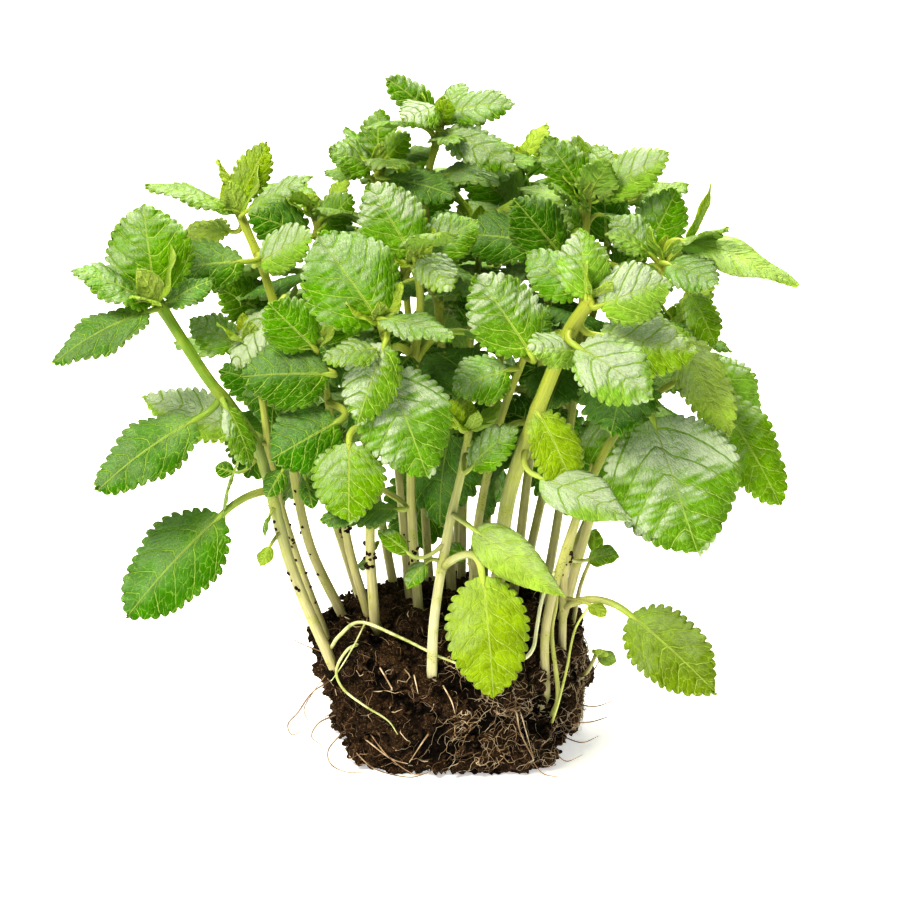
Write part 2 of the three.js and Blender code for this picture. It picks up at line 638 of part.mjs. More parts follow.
      blade([30, -4, 154], [17, -7, 170], [-0.2, -0.8, 0.6], 17),
      blade([27, -5, 158], [5, -9, 166], [-0.2, -0.7, 0.7], 17),
    ],
    grown: { from: 0.6, nodes: 3, turn: 120, length: 32 },
  },
  stem_18: {
    radius: 1.7, path: [[-19, 18, 41], [-27, 28, 82], [-37, 38, 122], [-43, 43, 153]],
    leaves: [],
    grown: { from: 0.45, nodes: 3, turn: 130, length: 35, tuft: true },
  },
  stem_19: {
    radius: 1.7, path: [[-8, 27, 40], [-11, 40, 82], [-15, 50, 125], [-17, 52, 160]],
    leaves: [],
    grown: { from: 0.42, nodes: 3, turn: 40, length: 36, tuft: true },
  },
  stem_20: {
    radius: 1.7, path: [[9, 28, 40], [12, 40, 84], [17, 50, 130], [20, 52, 165]],
    leaves: [],
    grown: { from: 0.42, nodes: 3, turn: 140, length: 36, tuft: true },
  },
  stem_21: {
    radius: 1.7, path: [[21, 19, 41], [31, 28, 84], [43, 35, 126], [49, 37, 158]],
    leaves: [],
    grown: { from: 0.42, nodes: 3, turn: 30, length: 35, tuft: true },
  },
  stem_22: {
    radius: 1.6, path: [[-29, 8, 40], [-40, 18, 72], [-50, 28, 100], [-55, 32, 124]],
    leaves: [],
    grown: { from: 0.55, nodes: 3, turn: 70, length: 30, tuft: true },
  },
  stem_23: {
    radius: 1.6, path: [[31, 12, 40], [44, 20, 70], [58, 28, 98], [66, 30, 120]],
    leaves: [],
    grown: { from: 0.55, nodes: 3, turn: 110, length: 30, tuft: true },
  },
  stem_24: {
    radius: 1.6, path: [[1, 32, 38], [1, 48, 66], [2, 66, 96], [3, 72, 122]],
    leaves: [],
    grown: { from: 0.42, nodes: 3, turn: 85, length: 35, tuft: true },
  },
};

// A pair of leaves grown by rule at a share of the stem's height. The pairs stand crosswise.
function grownPair(curve, at, compass, length, rise, dip, draw) {
  const middle = curve.getPoint(at);
  const teeth = Math.min(4, Math.max(2, Math.round(length / GROWN_PITCH)));
  return [0, 180].map((half) => {
    const turn = radians(compass + half + draw(-16, 16));
    const out = v(Math.cos(turn), Math.sin(turn), 0);
    const size = length * draw(0.88, 1.1);
    const lift = radians(rise + draw(-10, 10));
    const drop = radians(dip + draw(-14, 14));
    const stalk = size * draw(0.34, 0.5) + 2;
    const knee = middle.clone().addScaledVector(out, stalk * Math.cos(lift));
    knee.z += stalk * Math.sin(lift);
    const tip = knee.clone().addScaledVector(out, size * Math.cos(drop));
    tip.z -= size * Math.sin(drop);
    const up = v(0, 0, Math.cos(drop)).addScaledVector(out, Math.sin(drop))
      .applyAxisAngle(out, radians(draw(-18, 18)));
    return { knee, tip, up, width: size * draw(0.74, 0.86), extra: { middle, teeth } };
  });
}

function grownLeaves(stem, number) {
  const { from, nodes, turn, length, tuft } = stem.grown ?? { nodes: 0 };
  const curve = through(stem.path);
  const draw = draws(700 + number);
  const leaves = [];
  for (let i = 0; i < nodes; i++) {
    const share = nodes > 1 ? i / (nodes - 1) : 0;
    const at = mix(from, 0.94, share ** 0.85);
    const size = length * mix(1, 0.58, share ** 1.6);
    leaves.push(...grownPair(curve, at, turn + 90 * i, size, mix(30, 45, share), mix(24, -8, share), draw));
  }
  if (tuft) {
    leaves.push(...grownPair(curve, 0.985, turn + 90 * nodes, 13, 60, -32, draw));
  }
  return leaves;
}

// A leaf's root is the place on the stem's middle nearest to its knee, unless it is given.
function nearestOn(curve, p) {
  let best = null;
  for (let i = 0; i <= 100; i++) {
    const q = curve.getPoint(0.985 * (i / 100));
    if (!best || q.distanceTo(p) < best.distanceTo(p)) best = q;
  }
  return best;
}

function rooted(stem, { knee, tip, up, width, extra }) {
  const middle = extra.middle ?? nearestOn(through(stem.path), knee);
  const root = middle.clone()
    .addScaledVector(knee.clone().sub(middle).normalize(), ROOT_OUT * stem.radius);
  return leaf(root, knee, tip, up, width, extra);
}

// ---- seedlings ----------------------------------------------------------------------------------------

const SEEDLINGS = {
  seedling_01: { radius: 0.8, path: [[-25, 6, 41], [-26, 5, 50], [-25, 4, 57]],
    leaves: [blade([-25, 2, 58], [-24, -3, 63], [0.6, -0.8, 0.3], 5, SEED_LEAF),
      blade([-26, 2, 57], [-28, -3, 54], [-0.5, -0.8, 0.3], 5, SEED_LEAF)] },
  seedling_02: { radius: 0.8, path: [[5, -14, 42], [5, -15, 54], [4, -17, 64]],
    leaves: [blade([5, -19, 65], [9, -23, 69], [0.2, -0.8, 0.5], 6, SEED_LEAF),
      blade([3, -19, 65], [-2, -23, 68], [-0.2, -0.8, 0.5], 6, SEED_LEAF)] },
  seedling_03: { radius: 0.9, path: [[36, -4, 38], [38, -5, 50], [41, -8, 60]],
    leaves: [blade([42, -10, 62], [43, -14, 69], [-0.2, -1, 0.3], 6, SEED_LEAF),
      blade([43, -8, 62], [49, -8, 60], [0.5, -0.8, 0.4], 6, SEED_LEAF)] },
  seedling_04: { radius: 0.8, path: [[36, -14, 22], [40, -17, 27], [42, -18, 32]],
    leaves: [blade([42, -20, 34], [42, -24, 39], [-0.3, -1, 0.3], 5, SEED_LEAF),
      blade([43, -18, 33], [48, -20, 34], [0.3, -0.8, 0.6], 5, SEED_LEAF)] },
};

// ---- surface roots ------------------------------------------------------------------------------------

const ROOT_LIFT = 0.25; // off the ball's skin
const ROOT_END_LIFT = -1.5; // both ends go into the soil

// Roots that lie on the ball, fused into it: compass angle and place on its profile.
const ROOTS = [
  { radius: 0.9, ways: [[-140, 6.6], [-128, 7.3], [-110, 7.1], [-92, 6.6], [-76, 6.2]] },
  { radius: 0.8, ways: [[-66, 5.8], [-56, 4.6], [-60, 3.4], [-50, 2.4]] },
];

function rootSolid({ radius, ways }) {
  const last = ways.length - 1;
  const points = ways.map(([degrees, place], i) => {
    const lift = i === 0 || i === last ? ROOT_END_LIFT : ROOT_LIFT;
    return onBall(degrees, place / (BALL_PROFILE.length - 1), lift);
  });
  const curve = through(points);
  const steps = Math.ceil(curve.getLength() / 8);
  const run = Array.from({ length: steps + 1 }, (_, i) => curve.getPoint(i / steps));
  return solidOf(tube(run, radius, radius * 0.7, 4));
}

// ---- the plant ----------------------------------------------------------------------------------------

const GREEN = new THREE.MeshStandardMaterial({ color: 0x4f8a2b, roughness: 0.7 });
const SOIL = new THREE.MeshStandardMaterial({ color: 0x38281f, roughness: 1.0 });
const group = new THREE.Group();
group.name = 'lemon_balm';

// One closed body: the largest piece, with any hollow that fusing sealed filled.
function wholeOf(solids) {
  const pieces = wasm.Manifold.union(solids).simplify(FUSE_TOLERANCE).decompose();
  return pieces.sort((a, b) => b.volume() - a.volume())[0];
}

function addNode(name, solid, material) {
  const mesh = new THREE.Mesh(geometryOf(solid), material);
  mesh.name = name;
  group.add(mesh);
}

const growing = { ...STEMS, ...SEEDLINGS };
const names = Object.keys(growing);
const leavesOf = Object.fromEntries(names.map((name) => [name, []]));
names.forEach((name) => take(stemSamples(growing[name]), name));

function grow(name, specs) {
  for (const spec of specs) {
    const kept = placed(rooted(growing[name], spec), name);
    if (kept) leavesOf[name].push(kept);
  }
}

// Hand-set leaves come first, so that those grown by rule give way to them.
names.forEach((name) => grow(name, growing[name].leaves));
names.forEach((name, number) => grow(name, grownLeaves(growing[name], number)));

const holes = names.map((name) => holeSolid(growing[name].path, growing[name].radius, BURIED));
const ball = wasm.Manifold.union([ballSolid(), ...ROOTS.map(rootSolid)]).subtract(wasm.Manifold.union(holes));
addNode('root_ball', ball, SOIL);
names.forEach((name) => {
  addNode(name, wholeOf([stemSolid(growing[name]), ...leavesOf[name].map(leafSolid)]), GREEN);
});

export default group;
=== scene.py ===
import math
from functools import partial
from itertools import product
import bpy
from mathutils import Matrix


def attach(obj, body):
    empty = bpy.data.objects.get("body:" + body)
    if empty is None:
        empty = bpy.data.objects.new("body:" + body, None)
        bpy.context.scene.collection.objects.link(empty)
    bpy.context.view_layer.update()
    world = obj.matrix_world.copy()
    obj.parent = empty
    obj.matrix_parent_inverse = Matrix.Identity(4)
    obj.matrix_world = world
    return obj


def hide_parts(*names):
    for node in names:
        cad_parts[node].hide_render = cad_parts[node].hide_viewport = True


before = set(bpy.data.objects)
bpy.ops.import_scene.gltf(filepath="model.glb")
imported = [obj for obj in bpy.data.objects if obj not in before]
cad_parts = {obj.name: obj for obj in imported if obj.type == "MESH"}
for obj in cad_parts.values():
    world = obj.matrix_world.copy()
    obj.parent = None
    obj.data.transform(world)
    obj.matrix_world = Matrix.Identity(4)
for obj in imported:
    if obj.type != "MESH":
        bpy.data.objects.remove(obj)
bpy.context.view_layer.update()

from types import SimpleNamespace

import bpy
import numpy as np
from mathutils import Vector
from mathutils.bvhtree import BVHTree

# A clump of lemon balm on its bare root ball. Places are in millimetres, +Z up and +Y to the back, and
# become metres where a mesh is made. Each leafy stem stands in for its CAD node: the same stem and the
# same leaves, bent clear of each other by the same rule, with thin quilted blades and true margins.

bpy.ops.object.select_all(action="DESELECT")
mm = 0.001


# small helpers

def unit(v):
    return v / np.linalg.norm(v, axis=-1, keepdims=True)


def mix(a, b, t):
    return a + (b - a) * t


def smooth(low, high, x):
    t = np.clip((x - low) / (high - low), 0, 1)
    return t * t * (3 - 2 * t)


def linear(hexValue):
    # an sRGB hex value as the linear colour that a shader works with
    channels = [int(hexValue[i:i + 2], 16) / 255 for i in (1, 3, 5)]
    return np.array([c / 12.92 if c <= 0.04045 else ((c + 0.055) / 1.055) ** 2.4 for c in channels])


def draws(seed, factor=16807, prime=2**31 - 1):
    # the Park-Miller generator, the same on every run
    state = [seed]

    def draw(low, high):
        state[0] = state[0] * factor % prime
        return mix(low, high, state[0] / prime)
    return draw


def select(*objects):
    bpy.ops.object.select_all(action="DESELECT")
    for obj in objects:
        obj.select_set(True)
    bpy.context.view_layer.objects.active = objects[0]


def applied(obj, kind, **settings):
    modifier = obj.modifiers.new(kind.lower(), kind)
    for name, value in settings.items():
        setattr(modifier, name, value)
    select(obj)
    bpy.ops.object.modifier_apply(modifier=modifier.name)


def newObject(name, mesh):
    obj = bpy.data.objects.new(name, mesh)
    bpy.context.scene.collection.objects.link(obj)
    return obj


def joined(name, objects):
    select(*objects)
    bpy.ops.object.join()
    objects[0].name = name
    return objects[0]


def merged(obj, apart):
    # its doubles made one, up to so many millimetres apart
    select(obj)
    bpy.ops.object.mode_set(mode="EDIT")
    bpy.ops.mesh.select_all(action="SELECT")
    bpy.ops.mesh.remove_doubles(threshold=apart * mm)
    bpy.ops.object.mode_set(mode="OBJECT")


def softened(obj):
    select(obj)
    bpy.ops.object.shade_smooth()


def rowsOf(items, value, kind=np.float32, width=3):
    # one value of all vertices, normals or corners, a row each
    flat = np.empty(len(items) * width, kind)
    items.foreach_get(value, flat)
    return flat.reshape(-1, width)


def setRows(items, value, rows):
    items.foreach_set(value, np.asarray(rows, np.float32).ravel())


def addAttribute(mesh, name, kind, rows):
    # a value at each vertex, under the name by which a material reads it
    value = {"FLOAT": "value", "FLOAT_VECTOR": "vector", "FLOAT_COLOR": "color"}[kind]
    setRows(mesh.attributes.new(name, kind, "POINT").data, value, rows)


# the stems and their leaves

# The colour of a leaf's upper face, and how much pale down is painted on it as a sheen where it faces the
# light.
tones = {
    "deep": ("#2e6a00", .1),
    "dark": ("#4a8600", .3),
    "mid": ("#6ca000", .75),
    "bright": ("#80ac06", .75),
    "light": ("#90b820", .95),
    "pale": ("#98c04a", 1.4),
    "silvery": ("#76a224", 1.6),
    "lime": ("#a8c01e", .35),
    "limePale": ("#b4ce5c", .5),
    "olive": ("#84a01c", .3),
}


def blade(knee, tip, face, width, tone, small=False, plain=False):
    # a leaf: where its blade begins, its tip, what its face looks towards, its width; a plain one is
    # pointed and smooth, with next to no teeth
    knee, tip, face = (np.array(v, float) for v in (knee, tip, face))
    return SimpleNamespace(knee=knee, tip=tip, up=face, width=width, tone=tone, small=small, plain=plain,
                           fine=True, middle=None)


# The path of each stem's middle runs from the soil to its head. grown says how the rest of its leaves
# come by rule: from a share of its height, so many pairs, the compass turn of the first pair and the
# length of its longest blade; tuft adds a pair of young leaves at the head.
plant = {
    "stem_01": dict(
        radius=1.8, path=[[-35, -20, 26], [-48, -28, 64], [-57, -36, 104], [-71, -40, 127], [-84, -38, 148]],
        head="#74922e", taper=.9, young=1.5, leaves=[
            blade([-85, -36, 151], [-88, -30, 174], [0, -1, .3], 25, "mid"),
            blade([-87, -40, 149], [-107, -46, 159], [0, -.4, 1], 16, "mid"),
            blade([-88, -44, 146], [-112, -52, 134], [-.3, -.5, .8], 17, "dark"),
            blade([-81, -36, 147], [-69, -30, 152], [0, -.5, 1], 11, "dark"),
            blade([-85, -43, 149], [-91, -51, 153], [-.4, -.6, .9], 8, "lime"),
            blade([-76, -42, 113], [-101, -54, 97], [-.2, -.7, .7], 20, "dark"),
            blade([-64, -46, 118], [-58, -49, 102], [.9, -.6, .1], 12, "silvery"),
            blade([-64, -22, 106], [-92, -8, 110], [.1, -1, .4], 15, "pale"),
            blade([-64, -40, 98], [-68.5, -42, 100], [-.3, -1, .4], 5, "dark", small=True),
            blade([-54, -36, 83], [-55, -39, 78], [-1, -.4, .2], 4, "dark", small=True),
            blade([-54, -38, 74], [-56, -42, 70], [-.4, -1, .2], 5, "lime", small=True)]),
    "stem_02": dict(
        radius=1.8, path=[[-34, -1, 38], [-44, -9, 66], [-49, -12, 99], [-51, -8, 128], [-56, -5, 148],
                          [-63, -2, 165]],
        taper=.8, young=1.3, leaves=[
            blade([-66, -4, 167], [-89, -12, 175], [0, -.3, 1], 12, "bright"),
            blade([-63, 0, 169], [-55, 6, 184], [.3, -1, .4], 11, "lime"),
            blade([-59, -8, 168], [-41, -12, 178], [0, -.5, 1], 9, "mid"),
            blade([-67, 0, 159], [-81, 6, 157], [0, -.6, 1], 11, "lime"),
            blade([-61, -17, 154], [-83, -27, 152], [-.1, -.8, .6], 17, "dark"),
            blade([-53, -24, 139], [-62, -33, 123], [-.6, -.8, .3], 14, "silvery"),
            blade([-56, -12, 153], [-41, -20, 163], [.1, -.8, .6], 14, "pale"),
            blade([-64, 4, 168], [-70, 10, 178], [0, .4, 1], 8, "lime"),
            blade([-51, -18, 126], [-56, -23, 106], [-.2, -.9, .4], 20, "dark"),
            blade([-50, -38, 97], [-54, -42, 91], [0, -1, .5], 7, "dark", small=True),
            blade([-43, -36, 94], [-41, -41, 87], [.2, -1, .3], 6, "dark", small=True)],
        grown=(.6, 1, 110, 26)),
    "stem_03": dict(
        radius=1.7, path=[[-37, -12, 30], [-47, -16, 62], [-53, -22, 89], [-56, -24, 115], [-59, -26, 133]],
        leaves=[
            blade([-70, -35, 81], [-95, -44, 55], [-.3, -.85, .4], 25, "dark"),
            blade([-64, -30, 100], [-72, -36, 84], [-1, 0, .3], 7, "limePale"),
            blade([-64, -24, 132], [-76, -24, 140], [-.2, -.7, .8], 13, "mid")]),
    "stem_04": dict(
        radius=1.9, path=[[-24, -16, 42], [-25, -26, 72], [-23, -42, 108], [-19, -52, 135], [-21, -56, 148]],
        leaves=[
            blade([-22, -58, 149], [-38, -50, 170], [-.1, -.8, .6], 28, "mid"),
            blade([-19, -60, 149], [-1, -70, 146], [.2, -.4, .95], 13, "mid"),
            blade([-22, -62, 141], [-36, -67, 139], [-.1, -.5, .9], 11, "bright"),
            blade([-20, -62, 141], [-27, -67, 121], [-.1, -1, .3], 16, "silvery"),
            blade([-18, -58, 132], [-6, -64, 105], [.25, -.85, .45], 27, "silvery"),
            blade([-30, -52, 109], [-30, -58, 89], [0, -.9, .4], 21, "bright"),
            blade([-18, -44, 88], [-38, -49, 86], [0, -.3, 1], 14, "dark")]),
    "stem_05": dict(
        radius=1.6, path=[[-26, -7, 40], [-32, -15, 68], [-35, -27, 101], [-37, -34, 121], [-40, -36, 134]],
        leaves=[
            blade([-35, -43, 114], [-53, -50, 108], [-.1, -.85, .5], 21, "dark"),
            blade([-38, -40, 127], [-61, -40, 124], [-.2, -.8, .5], 21, "dark"),
            blade([-41, -40, 136], [-52, -48, 150], [-.3, -.9, .5], 16, "mid"),
            blade([-38, -32, 136], [-28, -24, 146], [.3, -.6, .8], 16, "mid")]),
    "stem_06": dict(
        radius=2, path=[[-7, -32, 30], [-6, -38, 53], [-2, -37, 79], [2, -38, 98], [4, -40, 111]],
        foot="#d6d4b0", leaves=[
            blade([8, -52, 68], [11, -59, 36], [.1, -.97, .2], 24, "lime"),
            blade([7, -48, 82], [31, -57, 66], [-.3, -.8, .55], 14, "limePale", plain=True),
            blade([-14, -46, 78], [-21, -48, 86], [0, -.7, .7], 6, "bright", small=True),
            blade([6, -46, 102], [18, -42, 113], [-.3, -.9, .5], 12, "mid"),
            blade([1, -42, 112], [-4, -46, 122], [-.3, -.9, .4], 8, "lime"),
            blade([-9, -41, 70], [-14, -44, 64], [-.3, -.9, .4], 6, "mid", small=True)]),
    "stem_07": dict(
        radius=2.6, path=[[12, -8, 41], [15, -28, 83], [21, -42, 110], [27, -50, 130], [32, -54, 144],
                          [38, -55, 154]],
        foot="#cccc9c", taper=.74, leaves=[
            blade([36, -56, 155], [34, -52, 172], [.1, -1, .3], 15, "pale"),
            blade([41, -58, 153], [58, -53, 161], [.2, -.8, .6], 18, "pale"),
            blade([42, -53, 142], [67, -50, 136], [.1, -.8, .6], 20, "light"),
            blade([32, -61, 140], [20, -70, 143], [-.1, -.7, .7], 13, "pale"),
            blade([35, -63, 141], [54, -69, 129], [.2, -.85, .55], 20, "pale"),
            blade([26, -50, 99], [50, -57, 89], [.1, -.75, .65], 16, "pale", plain=True),
            blade([24, -48, 117], [38, -49, 94], [.2, -.95, .2], 15, "lime"),
            blade([34, -50, 154], [20, -44, 163], [-.2, -.7, .7], 15, "mid")]),
    "stem_08": dict(
        radius=1.8, path=[[27, 3, 41], [32, 4, 74], [36, 2, 113], [38, 4, 143], [39, 6, 166]],
        leaves=[
            blade([38, 6, 168], [26, 8, 185], [.3, -.85, .5], 15, "mid"),
            blade([43, 4, 170], [62, 0, 182], [.1, -.8, .6], 14, "pale"),
            blade([56, 4, 152], [65, 6, 170], [.2, -1, .3], 17, "mid"),
            blade([40, 10, 169], [44, 22, 180], [0, .4, 1], 11, "mid"),
            blade([36, 0, 167], [28, -10, 175], [-.3, -.6, .8], 11, "mid")],
        grown=(.5, 2, 60, 28)),
    "stem_09": dict(
        radius=1.7, path=[[32, -10, 40], [40, -14, 74], [51, -16, 112], [57, -14, 139], [61, -12, 153]],
        leaves=[
            blade([68, -14, 159], [99, -18, 147], [.3, -.5, .8], 15, "limePale", plain=True),
            blade([68, -9, 159], [74, -8, 175], [1, -.5, .2], 7, "lime", plain=True),
            blade([63, -20, 154], [77, -28, 151], [.2, -.7, .7], 14, "mid"),
            blade([69, -12, 142], [76, -14, 128], [.3, -.9, .3], 11, "bright"),
            blade([56, -8, 155], [46, -2, 164], [-.2, -.6, .8], 13, "mid")],
        grown=(.5, 2, 75, 27)),
    "stem_10": dict(
        radius=1.7, path=[[27, -28, 24], [27, -33, 50], [35, -32, 80], [45, -30, 104], [56, -28, 116],
                          [67, -24, 122]],
        leaves=[
            blade([57, -42, 112], [69, -53, 78], [-.1, -.9, .45], 39, "silvery"),
            blade([77, -22, 113], [95, -26, 83], [.3, -.85, .4], 20, "bright"),
            blade([76, -16, 122], [89, -12, 102], [.2, -.9, .4], 17, "pale"),
            blade([65, -29, 133], [79, -37, 108], [.1, -.95, .3], 15, "limePale"),
            blade([68, -20, 126], [64, -10, 138], [.2, -.4, .9], 12, "bright")]),
    "stem_11": dict(
        radius=1.5, path=[[32, -22, 26], [32, -26, 48], [33, -25, 66], [40, -21, 92], [47, -19, 120]],
        leaves=[
            blade([53, -36, 51], [76, -43, 31], [0, -.8, .6], 22, "olive"),
            blade([45, -19, 110], [49, -24, 88], [.1, -1, .3], 20, "mid"),
            blade([40, -32, 54], [44, -36, 52], [.2, -.7, .7], 5, "lime", small=True),
            blade([40, -20, 64], [46, -22, 66], [.1, -.8, .6], 6, "bright", small=True)]),
    "stem_12": dict(
        radius=1.6, path=[[-14, 8, 41], [-17, 10, 79], [-21, 14, 125], [-22, 16, 155], [-23, 16, 175]],
        leaves=[
            blade([-25, 13, 176], [-37, 9, 181], [-.1, -.8, .8], 13, "mid"),
            blade([-23, 17, 177], [-23, 20, 191], [.1, -1, .2], 12, "mid"),
            blade([-21, 15, 177], [-12, 12, 186], [.2, -.7, .6], 9, "bright"),
            blade([-19, 7, 173], [0, -3, 170], [.1, -.7, .7], 14, "dark"),
            blade([-25, 20, 176], [-33, 27, 184], [-.1, .3, 1], 8, "mid")],
        grown=(.55, 2, 20, 31)),
    "stem_13": dict(
        radius=1.9, path=[[-1, 12, 41], [-3, 14, 87], [-5, 14, 134], [-9, 12, 165], [-4, 10, 189]],
        leaves=[
            blade([-6, 10, 191], [-20, 6, 203], [-.1, -.7, .7], 11, "mid"),
            blade([-1, 8, 193], [17, 4, 196], [0, -.7, .7], 12, "mid"),
            blade([-4, 6, 191], [-2, 0, 198], [0, -.9, .2], 6, "lime", small=True),
            blade([-2, 4, 188], [19, -4, 182], [.1, -.7, .7], 13, "mid"),
            blade([-6, 3, 195], [-15, -7, 193], [-.3, -.9, .5], 12, "silvery"),
            blade([-4, 14, 190], [2, 26, 198], [0, .4, 1], 11, "mid")],
        grown=(.5, 3, 55, 32)),
    "stem_14": dict(
        radius=1.8, path=[[-11, -8, 42], [-13, -12, 80], [-12, -22, 120], [-10, -28, 146], [-12, -32, 158]],
        leaves=[
            blade([-13, -35, 162], [-24, -30, 180], [-.2, -.85, .5], 19, "silvery"),
            blade([-9, -36, 160], [-1, -45, 153], [.1, -.8, .6], 12, "pale"),
            blade([-8, -30, 160], [6, -24, 168], [.2, -.7, .7], 15, "mid"),
            blade([-15, -28, 160], [-28, -18, 164], [-.2, -.3, 1], 15, "mid")],
        grown=(.55, 2, 10, 33)),
    "stem_15": dict(
        radius=1.7, path=[[5, -5, 42], [7, -14, 74], [13, -30, 110], [20, -41, 134]],
        leaves=[
            blade([20, -47, 137], [6, -43, 157], [-.1, -.85, .5], 21, "silvery"),
            blade([14, -42, 128], [0, -48, 122], [-.2, -.8, .5], 16, "mid"),
            blade([17, -38, 136], [26, -30, 144], [.3, -.3, .9], 13, "mid")],
        grown=(.6, 1, 170, 30)),
    "stem_16": dict(
        radius=1.7, path=[[2, 22, 41], [3, 22, 84], [5, 18, 124], [8, 14, 155]],
        grown=(.5, 3, 80, 34), tuft=True),
    "stem_17": dict(
        radius=1.8, path=[[18, 8, 42], [23, 8, 89], [27, 4, 128], [28, 0, 151]],
        leaves=[
            blade([30, -4, 154], [17, -7, 170], [-.2, -.8, .6], 17, "dark"),
            blade([27, -5, 158], [5, -9, 166], [-.2, -.7, .7], 17, "dark")],
        grown=(.6, 3, 120, 32)),
    "stem_18": dict(
        radius=1.7, path=[[-19, 18, 41], [-27, 28, 82], [-37, 38, 122], [-43, 43, 153]],
        grown=(.45, 3, 130, 35), tuft=True),
    "stem_19": dict(
        radius=1.7, path=[[-8, 27, 40], [-11, 40, 82], [-15, 50, 125], [-17, 52, 160]],
        grown=(.42, 3, 40, 36), tuft=True),
    "stem_20": dict(
        radius=1.7, path=[[9, 28, 40], [12, 40, 84], [17, 50, 130], [20, 52, 165]],
        grown=(.42, 3, 140, 36), tuft=True),
    "stem_21": dict(
        radius=1.7, path=[[21, 19, 41], [31, 28, 84], [43, 35, 126], [49, 37, 158]],
        grown=(.42, 3, 30, 35), tuft=True),
    "stem_22": dict(
        radius=1.6, path=[[-29, 8, 40], [-40, 18, 72], [-50, 28, 100], [-55, 32, 124]],
        grown=(.55, 3, 70, 30), tuft=True),
    "stem_23": dict(
        radius=1.6, path=[[31, 12, 40], [44, 20, 70], [58, 28, 98], [66, 30, 120]],
        grown=(.55, 3, 110, 30), tuft=True),
    "stem_24": dict(
        radius=1.6, path=[[1, 32, 38], [1, 48, 66], [2, 66, 96], [3, 72, 122]],
        grown=(.42, 3, 85, 35), tuft=True),
    "seedling_01": dict(
        radius=.8, path=[[-25, 6, 41], [-26, 5, 50], [-25, 4, 57]],
        leaves=[
            blade([-25, 2, 58], [-24, -3, 63], [.6, -.8, .3], 5, "bright", small=True),
            blade([-26, 2, 57], [-28, -3, 54], [-.5, -.8, .3], 5, "mid", small=True)]),
    "seedling_02": dict(
        radius=.8, path=[[5, -14, 42], [5, -15, 54], [4, -17, 64]],
        leaves=[
            blade([5, -19, 65], [9, -23, 69], [.2, -.8, .5], 6, "bright", small=True),
            blade([3, -19, 65], [-2, -23, 68], [-.2, -.8, .5], 6, "mid", small=True)]),
    "seedling_03": dict(
        radius=.9, path=[[36, -4, 38], [38, -5, 50], [41, -8, 60]],
        leaves=[
            blade([42, -10, 62], [43, -14, 69], [-.2, -1, .3], 6, "light", small=True),
            blade([43, -8, 62], [49, -8, 60], [.5, -.8, .4], 6, "bright", small=True)]),
    "seedling_04": dict(
        radius=.8, path=[[36, -14, 22], [40, -17, 27], [42, -18, 32]],
        leaves=[
            blade([42, -20, 34], [42, -24, 39], [-.3, -1, .3], 5, "limePale", small=True),
            blade([43, -18, 33], [48, -20, 34], [.3, -.8, .6], 5, "limePale", small=True)]),
}

growth = dict(
    rootOut=.25,  # a petiole starts this share of the stem's radius off its middle
    lastRoot=.985,  # and up to this share of the stem's height
    bow=.13, smallBow=.2,  # how far a midrib arches, as a share of the blade's length
    roundEnd=.72, widest=.4372,  # the power that rounds a blade's end, and the top of the curve it gives
    pointedEnd=.3, pointedWidth=1.1,  # what draws a plain leaf out to a point
    heart=.07,  # how far the basal lobes sweep back, as a share of the blade's length
    collar=.04,  # the petiole ends this share of the blade's length behind the lobes
    petioleBend=.55,  # how soon it bends, as a share of its length
    fold=.3, curl=.42,  # rise of a blade's halves from the midrib, and droop of their rims
    buried=9,  # how deep a stem goes into the soil, in mm
)

# How near a leaf may come to the others, in mm, and how it is bent clear of them.
clearance = dict(
    blade=1.6, petiole=1.3, most=4.3,  # reach round each, and the distance past which two points never meet
    ownShare=.75, outerFrom=.3,  # of the room, between the outer parts of leaves of one stem, from this share
    stemStep=2, petioleStep=2.5, rowStep=2.6, columnStep=5.2, firstRow=.03,  # spacing of the points compared
    floor=4, overSoil=4, soilShare=1.1, soilMargin=1,  # room over the floor and over and round the soil
    search=6,  # how far round a leaf others are looked for
    bendStep=8, mostBends=6, shrinks=(1, .86, .72),  # degrees a bend, bends about an axis, and sizes tried
)

ball = dict(halfWidth=39, halfDepth=36, height=41, squareness=2.8)


def along(points, shares):
    # places on the smooth curve through the points, by the uniform Catmull-Rom rule
    points = np.asarray(points, float)
    last = len(points) - 1
    place = np.atleast_1d(np.asarray(shares, float)) * last
    i = np.minimum(place.astype(int), last - 1)
    w = (place - i)[:, None]
    before = np.where((i > 0)[:, None], points[np.maximum(i - 1, 0)], 2 * points[0] - points[1])
    beyond = 2 * points[-1] - points[-2]
    after = np.where((i + 2 <= last)[:, None], points[np.minimum(i + 2, last)], beyond)
    a, b = points[i], points[i + 1]
    leave, arrive = (b - before) / 2, (after - a) / 2
    square, cube = 3 * b - 3 * a - 2 * leave - arrive, 2 * a - 2 * b + leave + arrive
    return a + leave * w + square * w**2 + cube * w**3


def lengthOf(points):
    return np.linalg.norm(np.diff(points, axis=0), axis=1).sum()


def bladeLength(l):
    return np.linalg.norm(l.tip - l.knee)


def halfWidth(l, t):
    # broad near the base, round at the end
    return .5 * l.width * np.sqrt(t) * (1 - t)**growth["roundEnd"] / growth["widest"]


def outlineWidth(l, t):
    # a plain leaf runs out to a point
    return halfWidth(l, t) * ((1 - t)**growth["pointedEnd"] * growth["pointedWidth"] if l.plain else 1)


def ribFrame(l, t):
    # the midrib's middle, forward, side and normal at shares t of the blade's length
    t = np.atleast_1d(np.asarray(t, float))[:, None]
    middle = (l.knee + l.tip) / 2 + l.up * l.bow * bladeLength(l)
    centre = l.knee * (1 - t)**2 + middle * 2 * t * (1 - t) + l.tip * t * t
    forward = unit((middle - l.knee) * (1 - t) + (l.tip - middle) * t)
    side = unit(np.cross(forward, l.up))
    return centre, forward, side, np.cross(side, forward)


